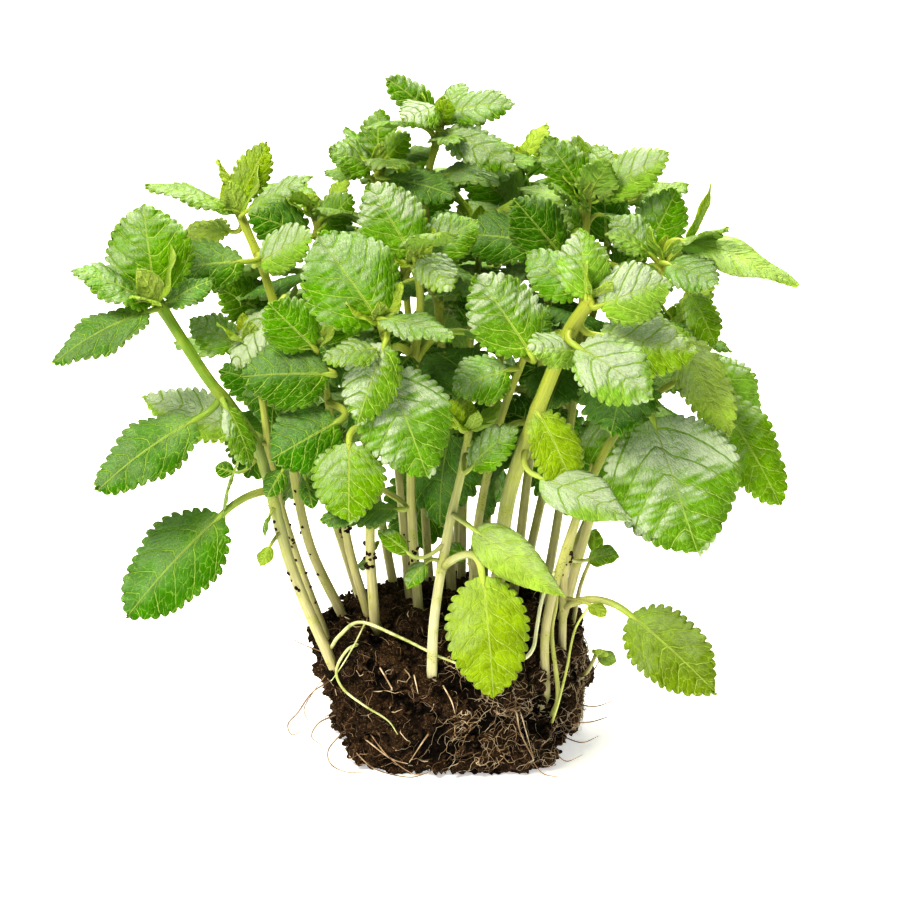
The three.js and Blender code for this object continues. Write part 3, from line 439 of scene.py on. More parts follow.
def bladePoints(l, t, u):
    # t runs from base to tip, u from the left rim at -1 to the right rim at 1
    centre, _, side, normal = ribFrame(l, t - growth["heart"] * u * u * (1 - t)**3)
    across = halfWidth(l, t) * u
    lift = np.abs(across) * (growth["fold"] - growth["curl"] * np.abs(u))
    return centre + side * across[:, None] + normal * lift[:, None]


def petiolePoints(l, steps):
    centre, forward, _, _ = ribFrame(l, -growth["heart"] - growth["collar"])
    end = centre[0]
    bend = end - forward[0] * growth["petioleBend"] * np.linalg.norm(l.root - end)
    t = np.linspace(0, 1, steps + 1)[:, None]
    return l.root * (1 - t)**2 + bend * 2 * (1 - t) * t + end * t * t


# bending clear of the neighbours, by the same rule and in the same order as the CAD model

def stemSamples(stem, owner):
    steps = math.ceil(lengthOf(along(stem["path"], np.linspace(0, 1, 201))) / clearance["stemStep"])
    return sampleRows(along(stem["path"], np.linspace(0, 1, steps + 1)), stem["radius"], 0, owner)


def sampleRows(places, reach, outer, owner):
    # one row a point: place, reach, whether it is a leaf's outer part, and its stem's number
    columns = [np.broadcast_to(value, len(places)) for value in (reach, outer, owner)]
    return np.column_stack([places] + columns)


def leafSamples(l, owner):
    c = clearance
    rows = math.ceil(bladeLength(l) / c["rowStep"])
    columns = max(1, math.ceil(l.width / c["columnStep"]))
    grid = [(i / rows, k / columns) for i in range(rows + 1) for k in range(-columns, columns + 1)]
    share, u = np.array(grid).T
    places = bladePoints(l, np.maximum(c["firstRow"], share), u)
    steps = max(2, math.ceil(np.linalg.norm(l.root - l.knee) / c["petioleStep"]))
    return np.vstack([sampleRows(petiolePoints(l, steps)[1:], c["petiole"], 0, owner),
                      sampleRows(places, c["blade"], share > c["outerFrom"], owner)])


def ballRadius(turn):
    power = ball["squareness"]
    across = np.abs(np.cos(turn) / ball["halfWidth"])**power
    deep = np.abs(np.sin(turn) / ball["halfDepth"])**power
    return (across + deep)**(-1 / power)


def isBlocked(samples, near, owner):
    c = clearance
    x, y, z = samples[:, :3].T
    overSoil = np.hypot(x, y) < ballRadius(np.arctan2(y, x)) * c["soilShare"] + c["soilMargin"]
    if np.any(z < c["floor"]) or np.any((z < ball["height"] + c["overSoil"]) & overSoil):
        return True
    low, high = samples[:, :3].min(0) - c["most"], samples[:, :3].max(0) + c["most"]
    near = near[np.all((near[:, :3] > low) & (near[:, :3] < high), axis=1)]
    apart = np.linalg.norm(samples[:, None, :3] - near[None, :, :3], axis=2)
    bothOuter = samples[:, None, 4] * near[None, :, 4] > 0
    share = np.where(near[None, :, 5] != owner, 1, np.where(bothOuter, c["ownShare"], 0))
    return bool(np.any(apart < (samples[:, None, 3] + near[None, :, 3]) * share))


def turned(v, axis, angle):
    axis = unit(axis)
    aside = np.cross(axis, v)
    return v * math.cos(angle) + aside * math.sin(angle) + axis * (axis @ v) * (1 - math.cos(angle))


def bent(l, yaw, pitch, roll, size):
    # the leaf turned about its root by three angles, and made smaller
    level = np.array([l.root[1] - l.tip[1], l.tip[0] - l.root[0], 0])
    zUp = np.array([0., 0., 1.])

    def swung(v):
        return turned(turned(v, level, pitch), zUp, yaw)

    knee, tip = (swung((p - l.root) * size) + l.root for p in (l.knee, l.tip))
    up = turned(swung(l.up), tip - knee, roll)
    return SimpleNamespace(**{**vars(l), "knee": knee, "tip": tip, "up": up, "width": l.width * size})


# Every way to bend, the smallest first, and those about fewer axes before the others.
bends = [(0, 0, 0)]
for k in range(1, clearance["mostBends"] + 1):
    ways = list(product((-k, 0, k), repeat=3))
    bends += [way for axes in (1, 2, 3) for way in ways if np.count_nonzero(way) == axes]


def placed(l, owner, ways=bends):
    # the leaf, bent as little as keeps it clear, or nothing where no bend does
    global taken
    room = np.linalg.norm(l.tip - l.root) + l.width + clearance["search"]
    near = taken[np.linalg.norm(taken[:, :3] - l.root, axis=1) < room]
    for size in clearance["shrinks"]:
        for way in ways:
            candidate = bent(l, *(math.radians(clearance["bendStep"] * step) for step in way), size)
            samples = leafSamples(candidate, owner)
            if not isBlocked(samples, near, owner):
                taken = np.vstack([taken, samples])
                return candidate
    return None


pairShape = dict(
    # what the draws vary
    turn=16, size=(.88, 1.1), rise=10, dip=14, stalk=(.34, .5), roll=18, width=(.74, .86),
    shortest=2,  # mm of petiole whatever the blade's length
    top=.94, crowding=.85,  # where on the stem the last pair grows, and how the others crowd up to it
    shrink=.58, shrinkPower=1.6, riseTo=(30, 45), dipTo=(24, -8),  # from the first pair to the last
    tones=("dark", "mid", "bright"), seed=700,
    tuft=dict(length=13, rise=60, dip=-32, tone="lime"),
)


def grownPair(path, at, compass, length, rise, dip, draw, tone):
    # two opposite leaves at a share of the stem's height
    p = pairShape
    middle = along(path, at)[0]
    pair = []
    for half in (0, 180):
        turn = math.radians(compass + half + draw(-p["turn"], p["turn"]))
        out = np.array([math.cos(turn), math.sin(turn), 0])
        size = length * draw(*p["size"])
        lift = math.radians(rise + draw(-p["rise"], p["rise"]))
        drop = math.radians(dip + draw(-p["dip"], p["dip"]))
        stalk = size * draw(*p["stalk"]) + p["shortest"]
        knee = middle + out * stalk * math.cos(lift) + [0, 0, stalk * math.sin(lift)]
        tip = knee + out * size * math.cos(drop) - [0, 0, size * math.sin(drop)]
        roll = math.radians(draw(-p["roll"], p["roll"]))
        up = turned(out * math.sin(drop) + [0, 0, math.cos(drop)], out, roll)
        leaf = blade(knee, tip, up, size * draw(*p["width"]), tone)
        leaf.middle, leaf.fine = middle, False
        pair.append(leaf)
    return pair


def third(choices, share):
    return choices[min(2, int(3 * share))]


def pairPlaces(stem):
    # each pair that grows by rule: its share of the way up, its place on the stem and its compass turn
    start, pairs, turn, _ = stem.get("grown", (0, 0, 0, 0))
    for i in range(pairs):
        share = i / (pairs - 1) if pairs > 1 else 0
        yield share, mix(start, pairShape["top"], share**pairShape["crowding"]), turn + 90 * i


def grownLeaves(stem, number):
    p = pairShape
    _, pairs, turn, length = stem.get("grown", (0, 0, 0, 0))
    draw = draws(p["seed"] + number)
    leaves = []
    for share, at, compass in pairPlaces(stem):
        size = length * mix(1, p["shrink"], share**p["shrinkPower"])
        rise, dip = mix(*p["riseTo"], share), mix(*p["dipTo"], share)
        leaves += grownPair(stem["path"], at, compass, size, rise, dip, draw, third(p["tones"], share))
    if stem.get("tuft"):
        leaves += grownPair(stem["path"], growth["lastRoot"], turn + 90 * pairs, draw=draw, **p["tuft"])
    return leaves


def rooted(stem, l):
    # a leaf's root is the place on the stem's middle nearest to its knee, unless it is given
    middle = l.middle
    if middle is None:
        places = along(stem["path"], growth["lastRoot"] * np.arange(101) / 100)
        middle = places[np.argmin(np.linalg.norm(places - l.knee, axis=1))]
    l.root = middle + unit(l.knee - middle) * growth["rootOut"] * stem["radius"]
    l.up = unit(l.up)
    l.bow = growth["smallBow"] if l.small else growth["bow"]
    return l


def placedAll(leavesFor, ways=bends):
    # the leaves that a function gives for each stem, rooted on it and bent clear one after the other
    for owner, (name, stem) in enumerate(plant.items()):
        leaves = [placed(rooted(stem, l), owner, ways) for l in leavesFor(name, owner)]
        leavesOf[name] += [l for l in leaves if l is not None]
    return sum(len(leaves) for leaves in leavesOf.values())


leavesOf = {name: [] for name in plant}
taken = np.vstack([stemSamples(stem, owner) for owner, stem in enumerate(plant.values())])
placedAll(lambda name, owner: plant[name].get("leaves", []))
print("leaves placed:", placedAll(lambda name, owner: grownLeaves(plant[name], owner)))

# Young leaves in the axils of the back stems: they are small and fill the clump's heart.
youngLeaves = {
    "stem_16": [blade([0, 22, 108], [-9, 18, 118], [0, -.9, .4], 13, "deep"),
                blade([6, 19, 126], [-4, 14, 137], [0, -.9, .4], 14, "dark"),
                blade([6, 20, 92], [16, 15, 100], [0, -.9, .4], 13, "deep")],
    "stem_18": [blade([-46, 41, 148], [-63, 38, 155], [-.2, -.8, .5], 16, "dark"),
                blade([-41, 40, 150], [-31, 35, 159], [.1, -.8, .5], 12, "mid"),
                blade([-36, 36, 112], [-48, 31, 118], [-.2, -.9, .4], 14, "deep")],
    "stem_19": [blade([-13, 50, 152], [1, 46, 158], [0, -.9, .4], 14, "dark"),
                blade([-14, 46, 112], [-25, 40, 119], [-.1, -.9, .4], 15, "deep")],
    "stem_20": [blade([15, 50, 157], [2, 46, 165], [0, -.9, .4], 15, "mid"),
                blade([15, 46, 116], [4, 40, 124], [0, -.9, .4], 15, "deep")],
    "stem_21": [blade([46, 33, 148], [44, 27, 165], [0, -.95, .3], 15, "dark"),
                blade([43, 35, 149], [31, 32, 157], [-.1, -.9, .4], 12, "mid"),
                blade([49, 34, 139], [59, 30, 147], [.1, -.9, .4], 12, "dark"),
                blade([33, 29, 106], [19, 26, 111], [0, -.9, .4], 13, "deep"),
                blade([27, 27, 91], [13, 24, 97], [0, -.9, .4], 15, "deep")],
    "stem_22": [blade([-57, 31, 129], [-66, 29, 147], [-.2, -.9, .3], 15, "mid"),
                blade([-53, 29, 122], [-66, 26, 134], [-.1, -.9, .4], 13, "dark"),
                blade([-54, 28, 103], [-72, 25, 109], [-.2, -.9, .4], 16, "dark"),
                blade([-42, 19, 83], [-33, 12, 94], [0, -.9, .4], 13, "deep")],
    "stem_23": [blade([50, 22, 84], [39, 17, 90], [0, -.9, .4], 13, "deep"),
                blade([60, 27, 104], [50, 22, 112], [0, -.9, .4], 14, "dark")],
}
shoulder = dict(length=(11, 16), rise=38, dip=6, below=.02, aside=55, tones=("deep", "dark", "mid"),
                seed=1700, ways=250)


def shoulderLeaves(name, owner):
    # the listed young leaves, and a small pair in the axils of each pair that grew by rule
    s, stem, leaves = shoulder, plant[name], youngLeaves.get(name, [])
    draw = draws(s["seed"] + owner)
    for share, at, compass in pairPlaces(stem):
        size = draw(*s["length"])
        leaves = leaves + grownPair(stem["path"], at - s["below"], compass + s["aside"], size, s["rise"],
                                    s["dip"], draw, third(s["tones"], share))
    for l in leaves:
        l.fine = False
    return leaves


print("with young leaves:", placedAll(shoulderLeaves, bends[:shoulder["ways"]]))

# materials

def addNode(tree, kind, inputs=(), output=0, **settings):
    # a node with its settings; its inputs, in their order or by their keys, are joined to sockets or set to
    # values, and one of its outputs, or a slice of them, comes back
    made = tree.nodes.new("ShaderNode" + kind)
    for name, value in settings.items():
        setattr(made, name, value)
    for socket, source in inputs.items() if isinstance(inputs, dict) else enumerate(inputs):
        if isinstance(source, bpy.types.NodeSocket):
            tree.links.new(source, made.inputs[socket])
        else:
            made.inputs[socket].default_value = source
    return made.outputs[output] if len(made.outputs) else None


def newMaterial(name):
    # an empty material, and addNode for its tree
    material = bpy.data.materials.new(name)
    material.use_nodes = True
    material.node_tree.nodes.clear()
    return material, partial(addNode, material.node_tree)


def rgba(hexValue):
    return (*linear(hexValue), 1)


# Settings that many nodes share. A soft range carries its first input from one span to another, and the
# colours 6 and 7 of a Mix node are blended, or the first is shaded by the second.
plus, minus, times, over = (dict(operation=kind) for kind in ("ADD", "SUBTRACT", "MULTIPLY", "DIVIDE"))
larger, absolute, toAndFro = (dict(operation=kind) for kind in ("MAXIMUM", "ABSOLUTE", "PINGPONG"))
soft = dict(interpolation_type="SMOOTHSTEP")
blended = dict(output=2, data_type="RGBA")
shaded = dict(output=2, data_type="RGBA", blend_type="MULTIPLY")

leafFinish = dict(
    veinColour="#dcef8c", veinShare=.72,
    ribWidth=.34, lateralWidth=.14,  # half widths of the midrib and the side veins, in mm
    waver=1.1,  # how far the side veins stray, in mm
    lateralShare=.95, netShare=.46,  # how pale the side veins and the net are beside the midrib
    netCell=2.3, netWidth=.06,  # the net of fine veins: size of its cells in mm, and width as a share of it
    netWander=.9, fineCells=2.8,  # scale of the noise that bends the net, and how much finer the puckers are
    mottle=240, patches=110, grain=2600, bristleGlints=1500,  # so many to a metre
    # the crease shade is painted shade in the grooves beside the side veins
    mottleShade=(.84, 1.14), creaseShade=(1.02, .84),  # how dark and how light they make the blade
    downAndSheenColour="#d0dcc8",  # the pale down, painted as a sheen on the faces turned to the light
    sheenHidesVeins=.8,  # how much of the pale veins the thick down and its painted sheen hide
    glintColour="#eef4e2", glintShare=.6,  # painted glints of single bristles that catch the light
    undersideColour="#cfe0a6", undersideShare=.4,
    throughColour="#ccf02c", throughTint=.4, throughShare=.34,  # the light that comes through a blade
    cellHeight=.25, grooveDepth=.18, ribHeight=.1, puckerHeight=.1, grainHeight=.1,  # relief in mm
    roughness=(.4, .6), refraction=1.42, gloss=.28, glossColour="#c0d868",  # roughness above and below
)


def leafBlade(name, under):
    # Living leaf blade: soft and thin, matt with fine down above, painted as a pale sheen where the face
    # looks to the light, and paler and duller below. The side veins are sunken above and stand out below,
    # with painted shade in the grooves beside them, and a net of fine veins puckers the skin between them.
    f = leafFinish
    material, add = newMaterial(name)
    tone = add("Attribute", output="Color", attribute_name="tone")
    downAndSheen = add("Attribute", output="Fac", attribute_name="downAndSheen")
    veins = add("Attribute", output="Vector", attribute_name="veins")
    onLeaf, across, spacing = add("SeparateXYZ", [veins], slice(3))
    u, t = add("SeparateXYZ", [add("UVMap")], slice(2))
    place = add("TexCoord", output="Object")
    mottle = add("TexNoise", {"Vector": place, "Scale": f["mottle"], "Detail": 2})
    patches = add("TexNoise", {"Vector": place, "Scale": f["patches"], "Detail": 2})
    grain = add("TexNoise", {"Vector": place, "Scale": f["grain"], "Detail": 1})

    # distances in mm to the nearest side vein, which wavers a little, and to the midrib
    toRim = add("Math", [add("Math", [add("Math", [u, 2], **times), 1], **minus)], **absolute)
    waver = add("Math", [add("Math", [mottle, .5], **minus), f["waver"]], **times)
    phase = add("Math", [add("Math", [onLeaf, waver], **plus), spacing], **over)
    toLateral = add("Math", [add("Math", [phase, .5], **toAndFro), spacing], **times)
    toLateral = add("Math", [toLateral, add("MapRange", [toRim, 0, 1, .92, .6], **soft)], **times)
    toRib = add("Math", [across], **absolute)

    # both thin out, the side veins to the rim and the midrib to the tip
    thinning = add("MapRange", [toRim, .1, 1, 1, .5], **soft)
    width = f["lateralWidth"]
    lateral = add("MapRange", [add("Math", [toLateral, thinning], **over), width * 1.5, width * .5], **soft)
    thinning = add("MapRange", [t, 0, 1, 1, .45], **soft)
    width = f["ribWidth"]
    rib = add("MapRange", [add("Math", [toRib, thinning], **over), width * 1.5, width * .6], **soft)
    groove = add("MapRange", [toLateral, .95, .15], **soft)
    grooveShade = add("MapRange", [toLateral, .4, .1], **soft)

    # the net, its cells bent by a little noise and other ones on each size of leaf
    aside = add("Math", [across, add("Math", [spacing, 9], **times)], **plus)
    flat = add("CombineXYZ", [aside, onLeaf])
    wander = add("TexNoise", {"Vector": flat, "Scale": f["netWander"], "Detail": 1}, "Color",
                 noise_dimensions="2D")
    flat = add("VectorMath", [flat, wander], **plus)
    cells, fine = (add("TexVoronoi", {"Vector": flat, "Scale": finer / f["netCell"]}, voronoi_dimensions="2D",
                       feature="DISTANCE_TO_EDGE") for finer in (1, f["fineCells"]))
    net = add("MapRange", [cells, f["netWidth"], f["netWidth"] * .3], **soft)

    # random mottling, and painted shade in the grooves beside the side veins
    body = tone
    for shade in ([mottle, .3, .7, *f["mottleShade"]], [grooveShade, 0, 1, *f["creaseShade"]]):
        body = add("Mix", {0: 1, 6: body, 7: add("MapRange", shade, **soft)}, **shaded)
    # pale down painted as a sheen where the face looks to the light, patchy and grainy; it hides the pale
    # veins, and the grooves and the net's lines are kept out of it as painted shade
    down = add("Math", [downAndSheen, add("MapRange", [grain, .38, .62, .7, 1.15], **soft)], **times)
    down = add("Math", [down, add("MapRange", [patches, .36, .56, .5, 1], **soft)], **times)
    veinsOutsideSheen = add("Math", [1, add("Math", [down, f["sheenHidesVeins"]], **times)], **minus)
    down = add("Math", [down, add("MapRange", [grooveShade, 0, 1, 1, .1], **soft)], **times)
    down = add("Math", [down, add("MapRange", [cells, .02, .16, .7, 1], **soft)], **times)
    if under:
        body = add("Mix", {0: f["undersideShare"], 6: body, 7: rgba(f["undersideColour"])}, **blended)
    else:
        body = add("Mix", {0: down, 6: body, 7: rgba(f["downAndSheenColour"])}, **blended)
        # painted glints of single bristles, only where the painted sheen is
        bristleGlints = add("TexVoronoi", {"Vector": place, "Scale": f["bristleGlints"]})
        bristleGlints = add("MapRange", [bristleGlints, .3, .1, 0, f["glintShare"]], **soft)
        bristleGlints = add("Math", [bristleGlints, add("MapRange", [down, 0, .7, .15, 1], **soft)], **times)
        body = add("Mix", {0: bristleGlints, 6: body, 7: rgba(f["glintColour"])}, **blended)
    lines = add("Math", [add("Math", [lateral, f["lateralShare"]], **times), rib], **larger)
    lines = add("Math", [lines, add("Math", [net, f["netShare"]], **times)], **larger)
    lines = lines if under else add("Math", [lines, veinsOutsideSheen], **times)
    veinTone = add("Mix", {0: f["veinShare"], 6: tone, 7: rgba(f["veinColour"])}, **blended)
    colour = add("Mix", {0: lines, 6: body, 7: veinTone}, **blended)

    # relief: puckered cells, sunken veins above and raised ones below, fine grain
    sign = 1 if under else -1
    height = add("Math", [add("MapRange", [cells, 0, .45], **soft), f["cellHeight"]], **times)
    pucker = add("MapRange", [fine, 0, .4], **soft)
    for value, tall in ((groove, f["grooveDepth"] * sign), (rib, f["ribHeight"] * sign),
                        (pucker, f["puckerHeight"]), (grain, f["grainHeight"])):
        height = add("Math", [height, add("Math", [value, tall], **times)], **plus)
    normal = add("Bump", {"Height": height, "Distance": mm, "Strength": 1})

    surface = add("BsdfPrincipled", {
        "Base Color": colour, "Roughness": f["roughness"][under], "Normal": normal, "IOR": f["refraction"],
        "Specular IOR Level": f["gloss"], "Specular Tint": rgba(f["glossColour"])})
    tint = add("Mix", {0: f["throughTint"], 6: colour, 7: rgba(f["throughColour"])}, **blended)
    through = add("BsdfTranslucent", {"Color": tint, "Normal": normal})
    add("OutputMaterial", [add("MixShader", [f["throughShare"], surface, through])])
    return material


stemFinish = dict(
    streak=(.07, 1.5, 1), streakScale=1.5,  # drawn out along the stem
    blotch=140, grain=1500, dots=1300,  # so many to a metre
    streakShade=(.87, 1.06), blotchColour="#aab54a", blotchShare=.5, dustColour="#6e5a2c", dustShare=.65,
    streakHeight=.16, grainHeight=.05, relief=.6,  # in mm, and how strongly it shows
    roughness=.4, refraction=1.42, gloss=.4, depth=.3, depths=(1.4, 1.6, .5),  # how deep light goes in, in mm
)


def stemSkin():
    # Living stem: juicy and square, pale where it grew in the shade of the clump, with fine streaks
    # along it and a soft gloss.
    f = stemFinish
    material, add = newMaterial("livingStem")
    tone = add("Attribute", output="Color", attribute_name="tone")
    veins = add("Attribute", output="Vector", attribute_name="veins")
    drawnOut = add("VectorMath", [veins, f["streak"]], **times)
    streak = add("TexNoise", {"Vector": drawnOut, "Scale": f["streakScale"], "Detail": 2})
    place = add("TexCoord", output="Object")
    blotch = add("TexNoise", {"Vector": place, "Scale": f["blotch"], "Detail": 2})
    grain = add("TexNoise", {"Vector": place, "Scale": f["grain"], "Detail": 2})
    streakShade = add("MapRange", [streak, .35, .65, *f["streakShade"]], **soft)
    colour = add("Mix", {0: 1, 6: tone, 7: streakShade}, **shaded)
    green = add("MapRange", [blotch, .45, .7, 0, f["blotchShare"]], **soft)
    colour = add("Mix", {0: green, 6: colour, 7: rgba(f["blotchColour"])}, **blended)
    dots = add("MapRange", [add("TexVoronoi", {"Vector": place, "Scale": f["dots"]}), .3, .16], **soft)
    dusty = add("Math", [add("MapRange", [blotch, .52, .66], **soft), dots], **times)
    dusty = add("Math", [dusty, f["dustShare"]], **times)
    colour = add("Mix", {0: dusty, 6: colour, 7: rgba(f["dustColour"])}, **blended)
    grainHeight = add("Math", [grain, f["grainHeight"]], **times)
    height = add("Math", [add("Math", [streak, f["streakHeight"]], **times), grainHeight], **plus)
    normal = add("Bump", {"Height": height, "Distance": mm, "Strength": f["relief"]})
    surface = add("BsdfPrincipled", {
        "Base Color": colour, "Roughness": f["roughness"], "Normal": normal, "IOR": f["refraction"],
        "Specular IOR Level": f["gloss"], "Subsurface Weight": f["depth"],
        "Subsurface Radius": [depth * mm for depth in f["depths"]], "Subsurface Scale": 1})
    add("OutputMaterial", [surface])
    return material


soilFinish = dict(
    dark="#33220f", light="#63492f", dry="#b09878", dryShare=.85,
    coarse=260, crumbs=1100, fine=2100,  # so many to a metre
    # painted shade: darker at the crumbs' edges and where the relief value is low, as in the soil's hollows
    crumbShade=(1.15, .55), reliefShade=(.22, 1.2),
    crumbHeight=-.6, fineHeight=.9,  # in mm
    roughness=.95, gloss=.2,
)


def earth():
    # Moist peat soil: dull, dark brown and crumbly, painted near black with shade in its cracks and between
    # its crumbs, and paler where it is dry.
    f = soilFinish
    material, add = newMaterial("peatSoil")
    place = add("TexCoord", output="Object")
    relief = add("Attribute", output="Fac", attribute_name="relief")
    coarse = add("TexNoise", {"Vector": place, "Scale": f["coarse"], "Detail": 5, "Roughness": .7})
    crumbs = add("TexVoronoi", {"Vector": place, "Scale": f["crumbs"]})
    fine = add("TexNoise", {"Vector": place, "Scale": f["fine"], "Detail": 4, "Roughness": .8})
    lighter = add("MapRange", [coarse, .36, .64], **soft)
    colour = add("Mix", {0: lighter, 6: rgba(f["dark"]), 7: rgba(f["light"])}, **blended)
    dry = add("MapRange", [fine, .53, .64, 0, f["dryShare"]], **soft)
    colour = add("Mix", {0: dry, 6: colour, 7: rgba(f["dry"])}, **blended)
    # painted shade between the crumbs and in the hollows, painted light on the crests
    for shade in ([crumbs, .1, .6, *f["crumbShade"]], [relief, .2, .75, *f["reliefShade"]]):
        colour = add("Mix", {0: 1, 6: colour, 7: add("MapRange", shade, **soft)}, **shaded)
    fineHeight = add("Math", [fine, f["fineHeight"]], **times)
    height = add("Math", [add("Math", [crumbs, f["crumbHeight"]], **times), fineHeight], **plus)
    normal = add("Bump", {"Height": height, "Distance": mm, "Strength": 1})
    add("OutputMaterial", [add("BsdfPrincipled", {
        "Base Color": colour, "Roughness": f["roughness"], "Normal": normal,
        "Specular IOR Level": f["gloss"]})])
    return material


rootFinish = dict(spots=300, height=.3, relief=.5, roughness=.6, gloss=.3)


def rootSkin(name, dark, light):
    # Living roots: dull and pale, browner where they are older.
    f = rootFinish
    material, add = newMaterial(name)
    spots = add("TexNoise", {"Vector": add("TexCoord", output="Object"), "Scale": f["spots"], "Detail": 4})
    lighter = add("MapRange", [spots, .35, .65], **soft)
    colour = add("Mix", {0: lighter, 6: rgba(dark), 7: rgba(light)}, **blended)
    normal = add("Bump", {"Height": spots, "Distance": f["height"] * mm, "Strength": f["relief"]})
    add("OutputMaterial", [add("BsdfPrincipled", {
        "Base Color": colour, "Roughness": f["roughness"], "Normal": normal,
        "Specular IOR Level": f["gloss"]})])
    return material


upperSkin = leafBlade("leafUpperSide", under=False)
lowerSkin = leafBlade("leafUnderside", under=True)
stemSurface = stemSkin()
soilSurface = earth()

# leaf blades

bladeShape = dict(
    sheet=.32,  # thickness of the blade
    rowsPerTooth=(5, 4), columnWidth=(1.6, 2.1), coarser=(1, 1.25),  # of the listed leaves and of the others
    leastTeeth=3, leastColumns=4, columnCrowding=.85,  # under 1 moves the columns to the rim
    toothPitch=(1.5, .047), leastPitch=2.0, mostPitch=3.4,  # in mm, grows with the blade's length
    toothDepth=.46, plainTooth=.12,  # crest to notch, as a share of the pitch, and how much a plain leaf has
    uneven=.28,  # how much the teeth differ in depth
    toothRound=.4, toothLean=.3,  # under 1 widens the crests and narrows the notches; their lean to the tip
    crestOut=.72,  # the share of a tooth's depth that is cut into the outline
    toothStart=(.03, .12),  # shares of the outline's run from where the teeth begin to where they are full
    lateralPitch=.22, smallPitch=1.4,  # between side veins, as a share of the blade's length
    leave=.4, arch=.62,  # how steeply a side vein leaves the midrib, and how much it bends to the tip
    stagger=(.2, .25),  # the veins of the two halves leave at different places
    quilt=.075,  # how high the blade puckers between side veins, as a share of their pitch
    netLump=.14,  # height of the fine puckers, in mm
    rimWave=1.3, waves=1.8, waveWidth=22,  # height in mm and number of the waves at the rim of a blade so wide
    smoothTones=dict(limePale=.35, lime=.6, pale=.7), plainPuff=.25,  # young and shaded leaves pucker less
    midribRadius=.42,  # as a share of the petiole's
    lightWay=(-.35, -.35, 1), halves=.4,  # the faces and halves that look this way carry the most painted sheen of down
    sheenFacing=(.42, .78), otherLeafSheen=.7,  # how far they have to, and the share on leaves not listed, less as painted shade inside the clump
    baseColour="#b8dc3c", rimColour="#c6de7e", toneVaries=.12,
)
blanks = {}


def bladeBlank(rows, columns):
    # a flat grid, modelled once for each number of rows and columns
    if (rows, columns) not in blanks:
        bpy.ops.mesh.primitive_grid_add(x_subdivisions=columns, y_subdivisions=rows, size=2, calc_uvs=True)
        blank = bpy.context.object
        blanks[rows, columns] = blank.data
        bpy.data.objects.remove(blank)
    return blanks[rows, columns].copy()


def rim(l):
    # the blade's outline: its run from the base in mm, place along the blade, and the outward direction
    t = (1 - np.cos(np.linspace(0, math.pi, 240))) / 2
    x, y = outlineWidth(l, t), (t - growth["heart"] * (1 - t)**3) * bladeLength(l)
    run = np.concatenate([[0], np.cumsum(np.hypot(np.diff(x), np.diff(y)))])
    tangentX, tangentY = np.gradient(x, run), np.gradient(y, run)
    size = np.hypot(tangentX, tangentY)
    return run, t, tangentY / size, -tangentX / size


